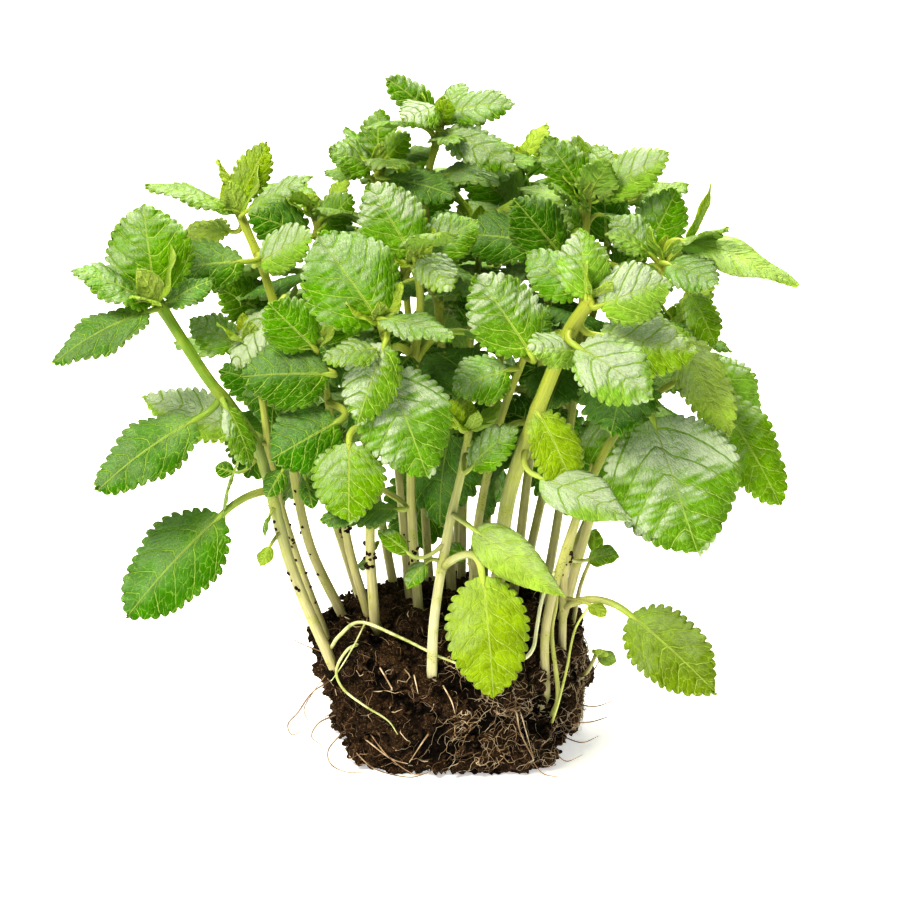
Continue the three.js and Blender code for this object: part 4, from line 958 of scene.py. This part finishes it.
def bladeObject(name, l, seed):
    b = bladeShape
    rng = np.random.default_rng(seed)
    length = bladeLength(l)
    outlineRun, outlineT, outX, outY = rim(l)
    outlineShare = outlineRun / outlineRun[-1]
    kind = 0 if l.fine else 1
    pitch = min(b["mostPitch"], max(b["leastPitch"], b["toothPitch"][0] + b["toothPitch"][1] * length))
    pitch *= b["coarser"][kind]
    teeth = max(b["leastTeeth"], round(outlineRun[-1] / pitch))
    rows = round((teeth + .5) * b["rowsPerTooth"][kind])
    columns = 2 * max(b["leastColumns"], round(.5 * l.width / b["columnWidth"][kind]))
    mesh = bladeBlank(rows, columns)
    u, s, _ = rowsOf(mesh.vertices, "co").astype(float).T
    u = np.sign(u) * np.abs(u)**b["columnCrowding"]
    s = np.clip((s + 1) / 2, 0, 1)
    t = np.interp(s, outlineShare, outlineT)
    a = np.abs(u)

    # rounded teeth with sharp notches that lean to the tip, set square to the outline
    run = rows / b["rowsPerTooth"][kind] * s
    which = np.floor(run + .001)
    x = np.maximum(run - which, 0)
    crest = np.sin(math.pi * x**1.2)**b["toothRound"]
    uneven = 1 + b["uneven"] * np.sin(2.4 * which + 6 * rng.random() + np.sign(u))
    depth = b["toothDepth"] * pitch * (0 if l.small else b["plainTooth"] if l.plain else 1) * uneven
    begun = smooth(*b["toothStart"], s)
    tooth = depth * (crest - b["crestOut"]) * begun * a**5
    lean = b["toothLean"] * depth * crest * begun * smooth(0, .12, 1 - s) * a**5
    wayX, wayY = np.interp(s, outlineShare, outX), np.interp(s, outlineShare, outY)
    across = outlineWidth(l, t) * u + np.sign(u) * (wayX * tooth - wayY * lean)
    shift = (wayY * tooth + wayX * lean) / length
    centre, _, side, normal = ribFrame(l, t - growth["heart"] * a * a * (1 - t)**3 + shift)

    # side veins leave the midrib steeply and arch to the tip, and the blade puckers between them
    spacing = b["lateralPitch"] * length * (b["smallPitch"] if l.small else 1)
    out = np.abs(across)
    stagger = (b["stagger"][0] + b["stagger"][1] * np.sign(u)) * spacing
    onLeaf = t * length - out * (b["leave"] + b["arch"] * out / (.5 * l.width)) + stagger
    inside = smooth(.03, .25, a) * (1 - .7 * smooth(.75, 1, a)) * smooth(0, .12, t)
    ridge = np.abs(np.sin(math.pi * onLeaf / spacing))**.6 - .6
    lump = ridge * b["quilt"] * spacing * mix(1, .6, a) * inside
    seeds = rng.random(4) * 6.28
    net = np.sin(across * 1.9 + 1.4 * np.sin(onLeaf + seeds[0])) * np.sin(onLeaf * 1.8 + seeds[1])
    wave = np.sin(2 * math.pi * b["waves"] * t + seeds[2] + 1.3 * np.sign(u))
    wave = wave * a**3 * smooth(0, .2, t) * l.width / b["waveWidth"]
    lift = out * (growth["fold"] - growth["curl"] * a)
    puffy = b["plainPuff"] if l.plain else b["smoothTones"].get(l.tone, 1)
    lift += (lump + net * b["netLump"] * inside) * puffy + wave * b["rimWave"]
    setRows(mesh.vertices, "co", (centre + side * across[:, None] + normal * lift[:, None]) * mm)
    mesh.update()

    # paler and yellower towards the petiole and a little at the rim, with pale down painted as a sheen
    # where the face looks to the light
    hexValue, downAndSheenShare = tones[l.tone]
    tone = linear(hexValue) * (1 + b["toneVaries"] * (rng.random(3) - .5))
    young = .6 * np.exp(-t / .14) * np.exp(-a / .5)
    colours = mix(tone, linear(b["baseColour"]), young[:, None])
    colours = mix(colours, linear(b["rimColour"]), (.3 * smooth(.9, 1, a))[:, None])
    addAttributes(mesh, colours, np.column_stack([onLeaf, across, np.full(len(t), spacing)]))
    # painted sheen: strongest on the faces and the halves turned to the light
    way = unit(np.array(b["lightWay"]))
    halves = b["halves"] * (side @ way) * np.sign(u) * smooth(0, .12, a)
    facingTheLight = smooth(*b["sheenFacing"], rowsOf(mesh.vertex_normals, "vector") @ way + halves)
    addAttribute(mesh, "downAndSheen", "FLOAT", downAndSheenShare * (1 if l.fine else b["otherLeafSheen"]) * facingTheLight)
    corners = rowsOf(mesh.loops, "vertex_index", np.int32, 1)[:, 0]
    setRows(mesh.uv_layers[0].data, "uv", np.column_stack([(u + 1) / 2, t])[corners])
    obj = newObject(name, mesh)
    mesh.materials.append(upperSkin)
    mesh.materials.append(lowerSkin)
    return obj


def addAttributes(mesh, colours, veins):
    addAttribute(mesh, "tone", "FLOAT_COLOR", np.column_stack([colours, np.ones(len(colours))]))
    addAttribute(mesh, "veins", "FLOAT_VECTOR", veins)


# stems and petioles

stemShape = dict(
    step=2.5, sides=12, taper=.62,
    corner=.98, flatFace=.8,  # of the radius: the square stem's corners and the middles of its faces
    # where it narrows into its roots: shares of the buried depth, of 5 mm to the middle, and of its radius
    feet=((1.1, 1.5, .3), (.8, .85, .5), (.5, .35, .85)), inward=5,
    knot=.14, knotLength=2.2,  # swelling where a pair of leaves leaves
    foot="#ccc69c", head="#a0aa4a", greenFrom=(35, 135),  # heights from which and to which it turns green
)
petioleShape = dict(
    sides=7, radius=(.42, .032), least=.5, most=1.2,  # in mm, grows with the blade's width
    taper=(1.12, .9), midribTo=.94, midribTaper=.22, sunk=.72,  # below the blade it thins and lies in it
    colour="#c6de70", colourShare=.6,
)


def framesAlong(points):
    # two directions square to the line at each point, the first one the last turned as little as possible
    forward = unit(np.vstack([points[1] - points[0], points[2:] - points[:-2], points[-1] - points[-2]]))
    normal = np.array([1., 0., 0.])
    normals = []
    for f in forward:
        normal = unit(normal - f * (normal @ f))
        normals.append(normal)
    return np.array(normals), np.cross(forward, normals)


def tube(name, points, radii, colours, sides, squareness=0.0):
    # a closed tube; squareness lifts its four corners over its faces
    normals, side = framesAlong(points)
    turn = 2 * math.pi * (np.arange(sides) + .5) / sides
    shape = 1 - squareness * np.cos(4 * turn)
    ring = normals[:, None, :] * (np.cos(turn) * shape)[None, :, None]
    ring = ring + side[:, None, :] * (np.sin(turn) * shape)[None, :, None]
    places = points[:, None, :] + ring * np.asarray(radii)[:, None, None]
    count = len(points)
    faces = [(row + k, row + (k + 1) % sides, row + sides + (k + 1) % sides, row + sides + k)
             for row in range(0, (count - 1) * sides, sides) for k in range(sides)]
    faces.append(tuple(range(sides - 1, -1, -1)))
    faces.append(tuple(range((count - 1) * sides, count * sides)))
    mesh = bpy.data.meshes.new(name)
    mesh.from_pydata((places.reshape(-1, 3) * mm).tolist(), [], faces)
    run = np.concatenate([[0], np.cumsum(np.linalg.norm(np.diff(points, axis=0), axis=1))])
    around = np.abs(np.arange(sides) - sides / 2) * 2 * math.pi * np.mean(radii) / sides
    veins = np.column_stack([np.repeat(run, sides), np.tile(around, count), np.full(count * sides, 1.0)])
    addAttributes(mesh, np.repeat(colours, sides, axis=0), veins)
    mesh.uv_layers.new(name="UVMap")
    mesh.materials.append(stemSurface)
    return newObject(name, mesh)


def stemTone(stem, height):
    # pale at the foot, greener to the head, by the height in mm
    foot, head = (linear(stem.get(end, stemShape[end])) for end in ("foot", "head"))
    return mix(foot, head, smooth(*stemShape["greenFrom"], np.atleast_1d(height))[:, None])


def stemTube(name, stem, leaves):
    s = stemShape
    steps = round(lengthOf(along(stem["path"], np.linspace(0, 1, 60))) / s["step"])
    shares = np.linspace(0, 1, steps + 1)
    points = along(stem["path"], shares)
    down = unit(points[0] - points[1]) * growth["buried"]
    inward = unit(-points[0] * [1, 1, 0]) * s["inward"]
    feet = [points[0] + down * below + inward * aside for below, aside, _ in s["feet"]]
    points = np.vstack(feet + [points])
    shares = np.concatenate([[0] * len(feet), shares])
    slender = stem["radius"] * mix(1, stem.get("taper", s["taper"]), shares)
    slender[:len(feet)] *= [share for _, _, share in s["feet"]]
    radii = slender
    for l in leaves:
        apart = np.linalg.norm(points - l.root, axis=1)
        radii = np.maximum(radii, slender * (1 + s["knot"] * np.exp(-(apart / s["knotLength"])**2)))
    middle = (s["corner"] + s["flatFace"]) / 2
    squareness = (s["corner"] - s["flatFace"]) / 2 / middle
    return tube(name, points, radii * middle, stemTone(stem, points[:, 2]), s["sides"], squareness)


def petioleTube(name, stem, l):
    # the petiole runs on below the blade as its midrib
    p = petioleShape
    radius = min(p["most"], max(p["least"], p["radius"][0] + p["radius"][1] * l.width))
    stalk = petiolePoints(l, max(4, round(np.linalg.norm(l.root - l.knee) / 2)))
    t = np.linspace(-.06, p["midribTo"], 12)
    centre, _, _, normal = ribFrame(l, t)
    midrib = radius * bladeShape["midribRadius"] * mix(1, p["midribTaper"], np.clip(t, 0, 1)**.7)
    midrib = np.where(t <= 0, radius * .85, midrib)
    sunk = smooth(-.12, .06, t) * (midrib * p["sunk"])
    points = np.vstack([stalk, centre - normal * sunk[:, None]])
    radii = np.concatenate([radius * mix(*p["taper"], np.linspace(0, 1, len(stalk))), midrib])
    onBlade = mix(linear(tones[l.tone][0]), linear(p["colour"]), p["colourShare"])
    share = smooth(0, .9, np.linspace(0, 1.4, len(points)))
    return tube(name, points, radii, mix(stemTone(stem, l.root[2]), onBlade, share[:, None]), p["sides"])


budShape = dict(
    length=(11, 7.5), spread=(.95, .4), width=.72, turn=35, bow=-.12,
    outFrom=.7, upFrom=.4,  # where a folded leaf begins, in mm from the stem's end
)


def budLeaves(stem):
    # the folded young leaves at a stem's head, two crosswise pairs
    b = budShape
    ends = along(stem["path"], [.97, 1])
    up = unit(ends[1] - ends[0])
    aside = unit(np.cross(up, [0.3, 1, 0.1]))
    leaves = []
    for i, (length, spread) in enumerate(zip(b["length"], b["spread"])):
        for half in (0, 180):
            out = turned(aside, up, math.radians(half + 90 * i + b["turn"]))
            knee = ends[1] + out * b["outFrom"] + up * b["upFrom"]
            size = length * stem.get("young", 1)
            tip = knee + unit(up + out * spread) * size
            leaf = blade(knee, tip, up * spread - out, size * b["width"], "lime", small=True)
            leaf.root, leaf.bow, leaf.up, leaf.fine = ends[1] - up, b["bow"], unit(leaf.up), False
            leaves.append(leaf)
    return leaves


def leafyStem(number, name):
    stem, leaves = plant[name], leavesOf[name]
    if name.startswith("stem"):
        leaves = leaves + budLeaves(stem)
    sheets = joined("blades", [bladeObject(f"blade{i}", l, 1000 * number + i) for i, l in enumerate(leaves)])
    merged(sheets, .002)
    applied(sheets, "SOLIDIFY", thickness=bladeShape["sheet"] * mm, offset=-1, material_offset=1)
    tubes = [stemTube("stem", stem, leaves)]
    tubes += [petioleTube(f"petiole{i}", stem, l) for i, l in enumerate(leaves)]
    whole = joined(name.replace("_", "") + "Growth", [sheets] + tubes)
    softened(whole)
    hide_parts(name)
    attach(whole, "root")


for number, name in enumerate(plant):
    leafyStem(number, name)
print("leafy stems made:", len(plant))

# thin bare shoots and an aerial root at the front, each a path in mm with its thickness and colour
shoots = (
    ([[29, -27, 17], [30.6, -31, 25.6], [28.5, -30.5, 44], [29.7, -29, 53], [30.3, -27, 61], [32, -25, 70]],
     .8, "#c9cc82"),
    ([[29, -28, 15], [30.6, -32, 22.7], [33, -31.5, 33.4], [34.5, -30.5, 42], [36, -30, 47],
      [39.5, -31.3, 53.6]], .45, "#ccd488"),
    ([[17, -30, 37], [20.4, -35, 38.5], [23, -35.5, 42], [24, -35, 48.3], [25.6, -34.6, 57.4], [29, -34, 65]],
     .7, "#e6e8c6"),
)
shootShape = dict(points=24, taper=.8, sides=8)
shares = np.linspace(0, 1, shootShape["points"])
for i, (path, radius, hexValue) in enumerate(shoots):
    colours = np.tile(linear(hexValue), (len(shares), 1))
    radii = radius * mix(1, shootShape["taper"], shares)
    shoot = tube(f"shoot{i}", along(path, shares), radii, colours, shootShape["sides"])
    softened(shoot)
    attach(shoot, "root")

# root ball

soilShape = dict(
    voxel=.75,
    crags=(11, 9), lumps=(3.6, 5), crumbs=(1.5, 2.4),  # size and height of the relief, in mm
    shades=(-2.4, 2.0),  # relief heights at which its painted shade is darkest and its painted light lightest
    flatUnder=.6,  # what is lower stands on the floor
    looseCrumbs=3300, footCrumbs=16, crumbSize=(.25, 1.05), crumbRough=.18, squash=(.6, 1.2),
    crumbShade=(.35, 1),
    spotHeights=(1.0, 50.0), sideTo=40, top=43,  # drawn heights; what is higher than the side lies on the top
    leastHeight=.6, leastUp=-.7,  # no spots by the floor or on faces turned down
    footGap=.4, footRing=(.9, 1.7), footLift=.2,  # the heap round a stem's foot
)


def soilBody():
    s = soilShape
    soil = newObject("soil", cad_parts["root_ball"].data.copy())
    soil.data.materials.clear()
    soil.data.materials.append(soilSurface)
    merged(soil, .01)
    soil.data.remesh_voxel_size = s["voxel"] * mm
    bpy.ops.object.voxel_remesh()
    smoothPlaces, facing = rowsOf(soil.data.vertices, "co"), rowsOf(soil.data.vertex_normals, "vector")
    for kind, texture in (("crags", "CLOUDS"), ("lumps", "CLOUDS"), ("crumbs", "VORONOI")):
        size, height = s[kind]
        relief = bpy.data.textures.new(kind, texture)
        relief.noise_scale = size * mm
        lift = -height if texture == "VORONOI" else height
        applied(soil, "DISPLACE", texture=relief, texture_coords="LOCAL", strength=lift * mm, mid_level=.5)
    places = rowsOf(soil.data.vertices, "co")
    # painted shade kept as the relief value: dark in the hollows, light on the crests
    height = ((places - smoothPlaces) * facing).sum(1) / mm
    addAttribute(soil.data, "relief", "FLOAT", smooth(*s["shades"], height - np.median(height)))
    places[:, 2] = np.where(places[:, 2] < s["flatUnder"] * mm, 0, places[:, 2])
    setRows(soil.data.vertices, "co", places)
    softened(soil)
    return soil


def crumbBlank():
    bpy.ops.mesh.primitive_ico_sphere_add(subdivisions=1, radius=1)
    blank = bpy.context.object
    places = rowsOf(blank.data.vertices, "co").astype(float)
    faces = np.array([f.vertices[:] for f in blank.data.polygons])
    bpy.data.objects.remove(blank)
    return places, faces


def scattered(name, spots, sizes, material, seed):
    # copies of the crumb, each turned, squashed and roughened
    s = soilShape
    rng = np.random.default_rng(seed)
    shape, faces = crumb
    places, allFaces = [], []
    for i, (spot, size) in enumerate(zip(spots, sizes)):
        turn = np.linalg.qr(rng.normal(size=(3, 3)))[0]
        turn *= np.sign(np.linalg.det(turn))
        rough = shape * (1 + s["crumbRough"] * rng.normal(size=(len(shape), 1)))
        places.append((rough * size * rng.uniform(*s["squash"], 3)) @ turn.T + spot)
        allFaces.append(faces + i * len(shape))
    mesh = bpy.data.meshes.new(name)
    mesh.from_pydata((np.vstack(places) * mm).tolist(), [], np.vstack(allFaces).tolist())
    mesh.materials.append(material)
    addAttribute(mesh, "relief", "FLOAT", np.repeat(rng.uniform(*s["crumbShade"], len(sizes)), len(shape)))
    obj = newObject(name, mesh)
    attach(obj, "root")


soil = soilBody()
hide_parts("root_ball")
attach(soil, "root")
skin = BVHTree.FromObject(soil, bpy.context.evaluated_depsgraph_get())
crumb = crumbBlank()


def onSoil(place, lift=0.0):
    # the point of the soil's skin nearest to a place in mm, lifted off it, and the way out there
    spot, out, _, _ = skin.find_nearest(Vector(place) * mm)
    return np.array(spot) / mm + np.array(out) * lift, np.array(out)


def clearOfSoil(place, lift):
    # the place itself where it is outside the soil, or else the skin over it
    spot, out = onSoil(place)
    gap = (np.asarray(place, float) - spot) @ out
    return spot + out * lift if gap < lift else np.asarray(place, float)


def soilSpots(count, seed):
    # points scattered over the sides and the top of the soil
    s = soilShape
    rng = np.random.default_rng(seed)
    spots = []
    while len(spots) < count:
        turn, height = rng.uniform(-math.pi, math.pi), rng.uniform(*s["spotHeights"])
        radius = ballRadius(turn) * (1 if height < s["sideTo"] else rng.random()**.5)
        spot, out = onSoil([radius * math.cos(turn), radius * math.sin(turn), min(height, s["top"])])
        if spot[2] > s["leastHeight"] and out[2] > s["leastUp"]:
            spots.append(spot)
    return np.array(spots)


def footSpots(rng):
    # soil heaped round the foot of each stem
    s = soilShape
    spots = []
    for stem in plant.values():
        for turn in rng.uniform(-math.pi, math.pi, s["footCrumbs"]):
            reach = (stem["radius"] + s["footGap"]) * rng.uniform(*s["footRing"])
            aside = [reach * math.cos(turn), reach * math.sin(turn), 0]
            spots.append(onSoil(np.array(stem["path"][0]) + aside, s["footLift"])[0])
    return np.array(spots)


rng = np.random.default_rng(5)
spots = np.vstack([soilSpots(soilShape["looseCrumbs"], 11), footSpots(rng)])
scattered("soilCrumbs", spots, mix(*soilShape["crumbSize"], rng.random(len(spots))**2), soilSurface, 12)
print("soil made:", len(soil.data.polygons), "faces")

# roots

rootShape = dict(
    tip=.4,  # a root's thickness at its tip, as a share of the rest
    plainFrom=60,  # a bunch of more roots than this has four-sided ones
    step=1.2, leastStep=.45,  # between its points in mm, and the share of it past which a root gives up
    firstLift=-.2, lifts=(.4, 1.2),  # it starts in the soil; least share of its lift, and what a draw adds
    lowest=.3, outward=.8,  # it ends near the floor; how freely one that leaves the soil turns aside
    colours=dict(young=("#b4bd78", "#e2e6ba"), pale=("#a98f6e", "#e6d6bb"), old=("#7a604a", "#c0a687")),
)
# bunches of fibres: how many, their radius, length, lift off the soil in mm, and how much they wander
fibreShape = dict(
    white=dict(count=90, seed=31, radius=(.14, .24), lengths=(5, 13), lift=.4, wander=.14),
    mat=dict(count=420, seed=41, radius=(.07, .13), lengths=(8, 24), lift=.7, wander=.3, sag=.22),
    brown=dict(count=420, seed=51, radius=(.07, .13), lengths=(5, 16), lift=.5, wander=.35),
    loose=dict(count=420, seed=61, radius=(.06, .1), lengths=(3, 7), lift=.5, wander=.3, sag=.1, hug=.25),
    matTurns=(-92, -8), matHeights=(4, 36),  # where the mat is: degrees round from the right, and mm up
)


def rootBunch(name, runs, material):
    # thin roots, each a smooth run of points in mm with its own radius, thinning to its tip
    curve = bpy.data.curves.new(name, "CURVE")
    curve.dimensions = "3D"
    curve.bevel_depth = mm
    curve.bevel_resolution = 0 if len(runs) > rootShape["plainFrom"] else 1
    curve.use_fill_caps = True
    for points, radius in runs:
        points = np.asarray(points, float)
        line = curve.splines.new("POLY")
        line.points.add(len(points) - 1)
        line.points.foreach_set("co", np.column_stack([points * mm, np.ones(len(points))]).ravel())
        thinning = mix(1, rootShape["tip"], np.linspace(0, 1, len(points))**2)
        line.points.foreach_set("radius", radius * thinning)
    select(newObject(name, curve))
    bpy.ops.object.convert(target="MESH")
    obj = bpy.context.object
    obj.data.materials.clear()
    obj.data.materials.append(material)
    bpy.ops.object.shade_smooth()
    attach(obj, "root")


def crawl(start, way, length, wander, lift, rng, sag, hug):
    # a root that follows the soil's skin, or with less hug leaves it
    r = rootShape
    spot, out = onSoil(start, r["firstLift"])
    points = [spot]
    for _ in range(round(length / r["step"])):
        way = unit(way + wander * rng.normal(size=3) + [0, 0, -sag])
        way = unit(way - out * (way @ out) * hug)
        ahead = points[-1] + way * r["step"]
        nearest, out = onSoil(ahead, lift * (r["lifts"][0] + rng.random() * r["lifts"][1]))
        ahead = mix(ahead, nearest, hug)
        if ahead[2] < r["lowest"] or np.linalg.norm(ahead - points[-1]) < r["leastStep"] * r["step"]:
            break
        points.append(ahead)
    return np.array(points)


def smoothed(points, lift=.1):
    points = [clearOfSoil(p, lift) for p in points]
    count = max(4, round(lengthOf(points) / rootShape["step"]))
    return along(points, np.linspace(0, 1, count + 1))


def fibres(count, seed, radius, lengths, lift, wander, region=None, sag=0.0, hug=1.0):
    rng = np.random.default_rng(seed)
    runs = []
    for start in region(count, rng) if region else soilSpots(count, seed + 1):
        way = rng.normal(size=3)
        if hug < 1:
            way = onSoil(start)[1] + rootShape["outward"] * way
        run = crawl(start, way, rng.uniform(*lengths), wander, lift, rng, sag, hug)
        if len(run) > 2:
            runs.append((run, rng.uniform(*radius)))
    return runs


def frontRight(count, rng):
    # the thick mat of roots at the right of the front
    turns = np.radians(rng.uniform(*fibreShape["matTurns"], count))
    heights = rng.uniform(*fibreShape["matHeights"], count)
    return [[ballRadius(a) * math.cos(a), ballRadius(a) * math.sin(a), h] for a, h in zip(turns, heights)]


youngRoot, paleRoot, oldRoot = (
    rootSkin(f"{age}Root", *colours) for age, colours in rootShape["colours"].items())

longRoots = [
    (smoothed([[-37, -24, 36], [-34, -28, 43], [-28, -24, 45.5], [-16, -29, 42.5], [-4.5, -34, 38.5],
               [7, -36, 35], [14, -34, 32]], .6), .62),
    (smoothed([[-30, -27, 44], [-32, -33, 40], [-35, -36, 35], [-33, -38, 30], [-27, -38.5, 25],
               [-20, -38, 20], [-17, -37, 15]], .5), .5),
    (smoothed([[-27, -25, 45], [-30, -32, 41], [-33, -36, 37], [-36, -35, 32], [-37, -32, 30]], .4), .3),
]
rootBunch("longRoots", longRoots, youngRoot)

strayRoots = [
    [[-38, -18, 33], [-44, -22, 37], [-48, -24, 40], [-51, -25, 44]],
    [[-38, -18, 24], [-43, -22, 22], [-47, -25, 17], [-50, -27, 14], [-49, -28, 11], [-46, -28, 12]],
    [[-38, -18, 28], [-43, -22, 25], [-45, -25, 19], [-44, -27, 15]],
    [[-34, -22, 9], [-38, -28, 6], [-37, -32, 3], [-32, -34, 1.4], [-26, -35, 2]],
    [[-36, -20, 14], [-41, -24, 13], [-43, -27, 10], [-40, -29, 8]],
    [[-30, -28, 6], [-24, -35, 3], [-14, -38, 1.6], [-8, -38, 3]],
    [[-26, -30, 14], [-20, -37, 8], [-12, -39, 3], [-6, -38, 4]],
    [[34, -14, 24], [40, -18, 26], [43, -20, 31], [46, -20, 38]],
    [[34, -18, 12], [41, -23, 13], [46, -26, 16]],
    [[34, -18, 17], [42, -23, 18], [48, -25, 21]],
    [[32, -22, 8], [38, -27, 8], [43, -29, 11]],
    [[28, -28, 6], [33, -34, 5], [38, -36, 8]],
    [[22, -30, 5], [26, -36, 2], [31, -38, 1.6]],
]
rootBunch("strayRoots", [(smoothed(run), .2) for run in strayRoots], oldRoot)

whiteRuns = [
    [[12, -33, 20], [18, -36, 20], [22, -37, 14], [25, -37.5, 6], [25, -37, 1.5]],
    [[19, -36.5, 19], [24, -37, 16], [27, -37, 9]],
    [[-3, -36, 30], [-1, -38, 26], [0, -38, 22]],
    [[-24, -35, 34], [-22, -37, 30], [-20, -37, 27]],
    [[-12, -37, 34], [-11, -38, 28]],
    [[-28, -34, 10], [-22, -38, 6], [-14, -39, 2]],
    [[-8, -37, 14], [-10, -38, 9], [-13, -38, 5]],
]
whiteRoots = [(smoothed([onSoil(p, .5)[0] for p in run]), .3) for run in whiteRuns]
rootBunch("whiteRoots", whiteRoots + fibres(**fibreShape["white"]), paleRoot)
rootBunch("rootMat", fibres(region=frontRight, **fibreShape["mat"]), paleRoot)
rootBunch("brownFibres", fibres(**fibreShape["brown"]) + fibres(**fibreShape["loose"]), oldRoot)
print("roots made")

# black specks on the left stems, and soil stuck to seven of them

specks = dict(
    stems=("stem_01", "stem_02", "stem_03"), each=7, heights=(44, 86), size=(.45, .72), side=1.5,
    colours=("#21150f", "#2c201a"),
)
stuck = dict(
    stems=(("stem_04", 66, 20), ("stem_05", 73, 12), ("stem_14", 62, 12), ("stem_11", 66, 14),
           ("stem_03", 70, 5), ("stem_12", 58, 10), ("stem_15", 60, 8)),  # height in mm, crumbs
    spread=2.2, size=(.3, .85), side=1.8,
)


def spotsOnStem(name, heights, turns):
    # places just in a stem's skin, by height in mm and by the turn from the front in radians
    stem = plant[name]
    points = along(stem["path"], np.linspace(0, 1, 200))
    spots = []
    for height, turn in zip(heights, turns):
        i = np.argmin(np.abs(points[:, 2] - height))
        out = np.array([math.sin(turn), -math.cos(turn), 0])
        slender = mix(1, stem.get("taper", stemShape["taper"]), i / 200)
        spots.append(points[i] + out * stem["radius"] * slender * .9)
    return spots


rng = np.random.default_rng(8)
speckSpots, stuckSpots = [], []
for name in specks["stems"]:
    heights = rng.uniform(*specks["heights"], specks["each"])
    speckSpots += spotsOnStem(name, heights, rng.uniform(-specks["side"], specks["side"], specks["each"]))
for name, height, count in stuck["stems"]:
    heights = rng.normal(height, stuck["spread"], count)
    stuckSpots += spotsOnStem(name, heights, rng.uniform(-stuck["side"], stuck["side"], count))
scattered("stuckSoil", stuckSpots, rng.uniform(*stuck["size"], len(stuckSpots)), soilSurface, 14)
mould = rootSkin("mouldSpeck", *specks["colours"])
speckSizes = np.random.default_rng(9).uniform(*specks["size"], len(speckSpots))
scattered("stemSpecks", speckSpots, speckSizes, mould, 13)

# floor, light and camera

studio = dict(
    floorRadius=3, floorDrop=.0004, floorColour="#f7f7f7", floorGlow=.47,
    world="#ffffff", worldStrength=.3,
    key=dict(place=(-.42, -.66, .9), size=.36, power=12.5, colour="#fff6e4"),
    top=dict(place=(.15, .5, .95), size=.45, power=12, colour="#fffaf0"),
    aim=(0, 0, .1),  # where both softboxes look
    exposure=.38, gamma=.76,  # a gamma under 1 deepens the shadows
)

bpy.ops.mesh.primitive_circle_add(vertices=128, radius=studio["floorRadius"], fill_type="NGON",
                                  location=(0, 0, -studio["floorDrop"]))
floor = bpy.context.object
floor.name = "floor"
paint, add = newMaterial("paintedFloor")  # smooth matt white paint, lit a little from below
floorColour = rgba(studio["floorColour"])
add("OutputMaterial", [add("BsdfPrincipled", {
    "Base Color": floorColour, "Roughness": .8, "Specular IOR Level": .1,
    "Emission Color": floorColour, "Emission Strength": studio["floorGlow"]})])
floor.data.materials.append(paint)

world = bpy.data.worlds.new("studio")
bpy.context.scene.world = world
world.use_nodes = True
sky = world.node_tree.nodes["Background"]
sky.inputs["Color"].default_value = rgba(studio["world"])
seen = addNode(world.node_tree, "LightPath", output="Is Camera Ray")  # it lights softly but is seen white
strength = addNode(world.node_tree, "MapRange", [seen, 0, 1, studio["worldStrength"], 1], **soft)
world.node_tree.links.new(strength, sky.inputs["Strength"])


def softbox(name, place, size, power, colour):
    bpy.ops.object.light_add(type="AREA", location=place)
    light = bpy.context.object
    light.name = name
    light.data.size = size
    light.data.energy = power
    light.data.color = linear(colour)
    way = Vector(studio["aim"]) - Vector(place)
    light.rotation_euler = way.to_track_quat("-Z", "Y").to_euler()


softbox("keySoftbox", **studio["key"])
softbox("topSoftbox", **studio["top"])

view = dict(target=(-1.5, 0, 91.5), distance=900, elevation=18, lens=120, sensor=36)  # in mm and degrees
rise = math.radians(view["elevation"])
away = np.array([0, -math.cos(rise), math.sin(rise)]) * view["distance"]
place = (np.array(view["target"]) + away) * mm
bpy.ops.object.camera_add(location=place, rotation=(math.pi / 2 - rise, 0, 0))
camera = bpy.context.object
camera.data.lens = view["lens"]
camera.data.sensor_width = view["sensor"]
scene = bpy.context.scene
scene.camera = camera
scene.view_settings.view_transform = "Standard"
scene.view_settings.exposure = studio["exposure"]
scene.view_settings.gamma = studio["gamma"]

meshes = [obj.data for obj in scene.objects if obj.type == "MESH" and not obj.hide_render]
print("faces in all:", sum(len(mesh.polygons) for mesh in meshes))
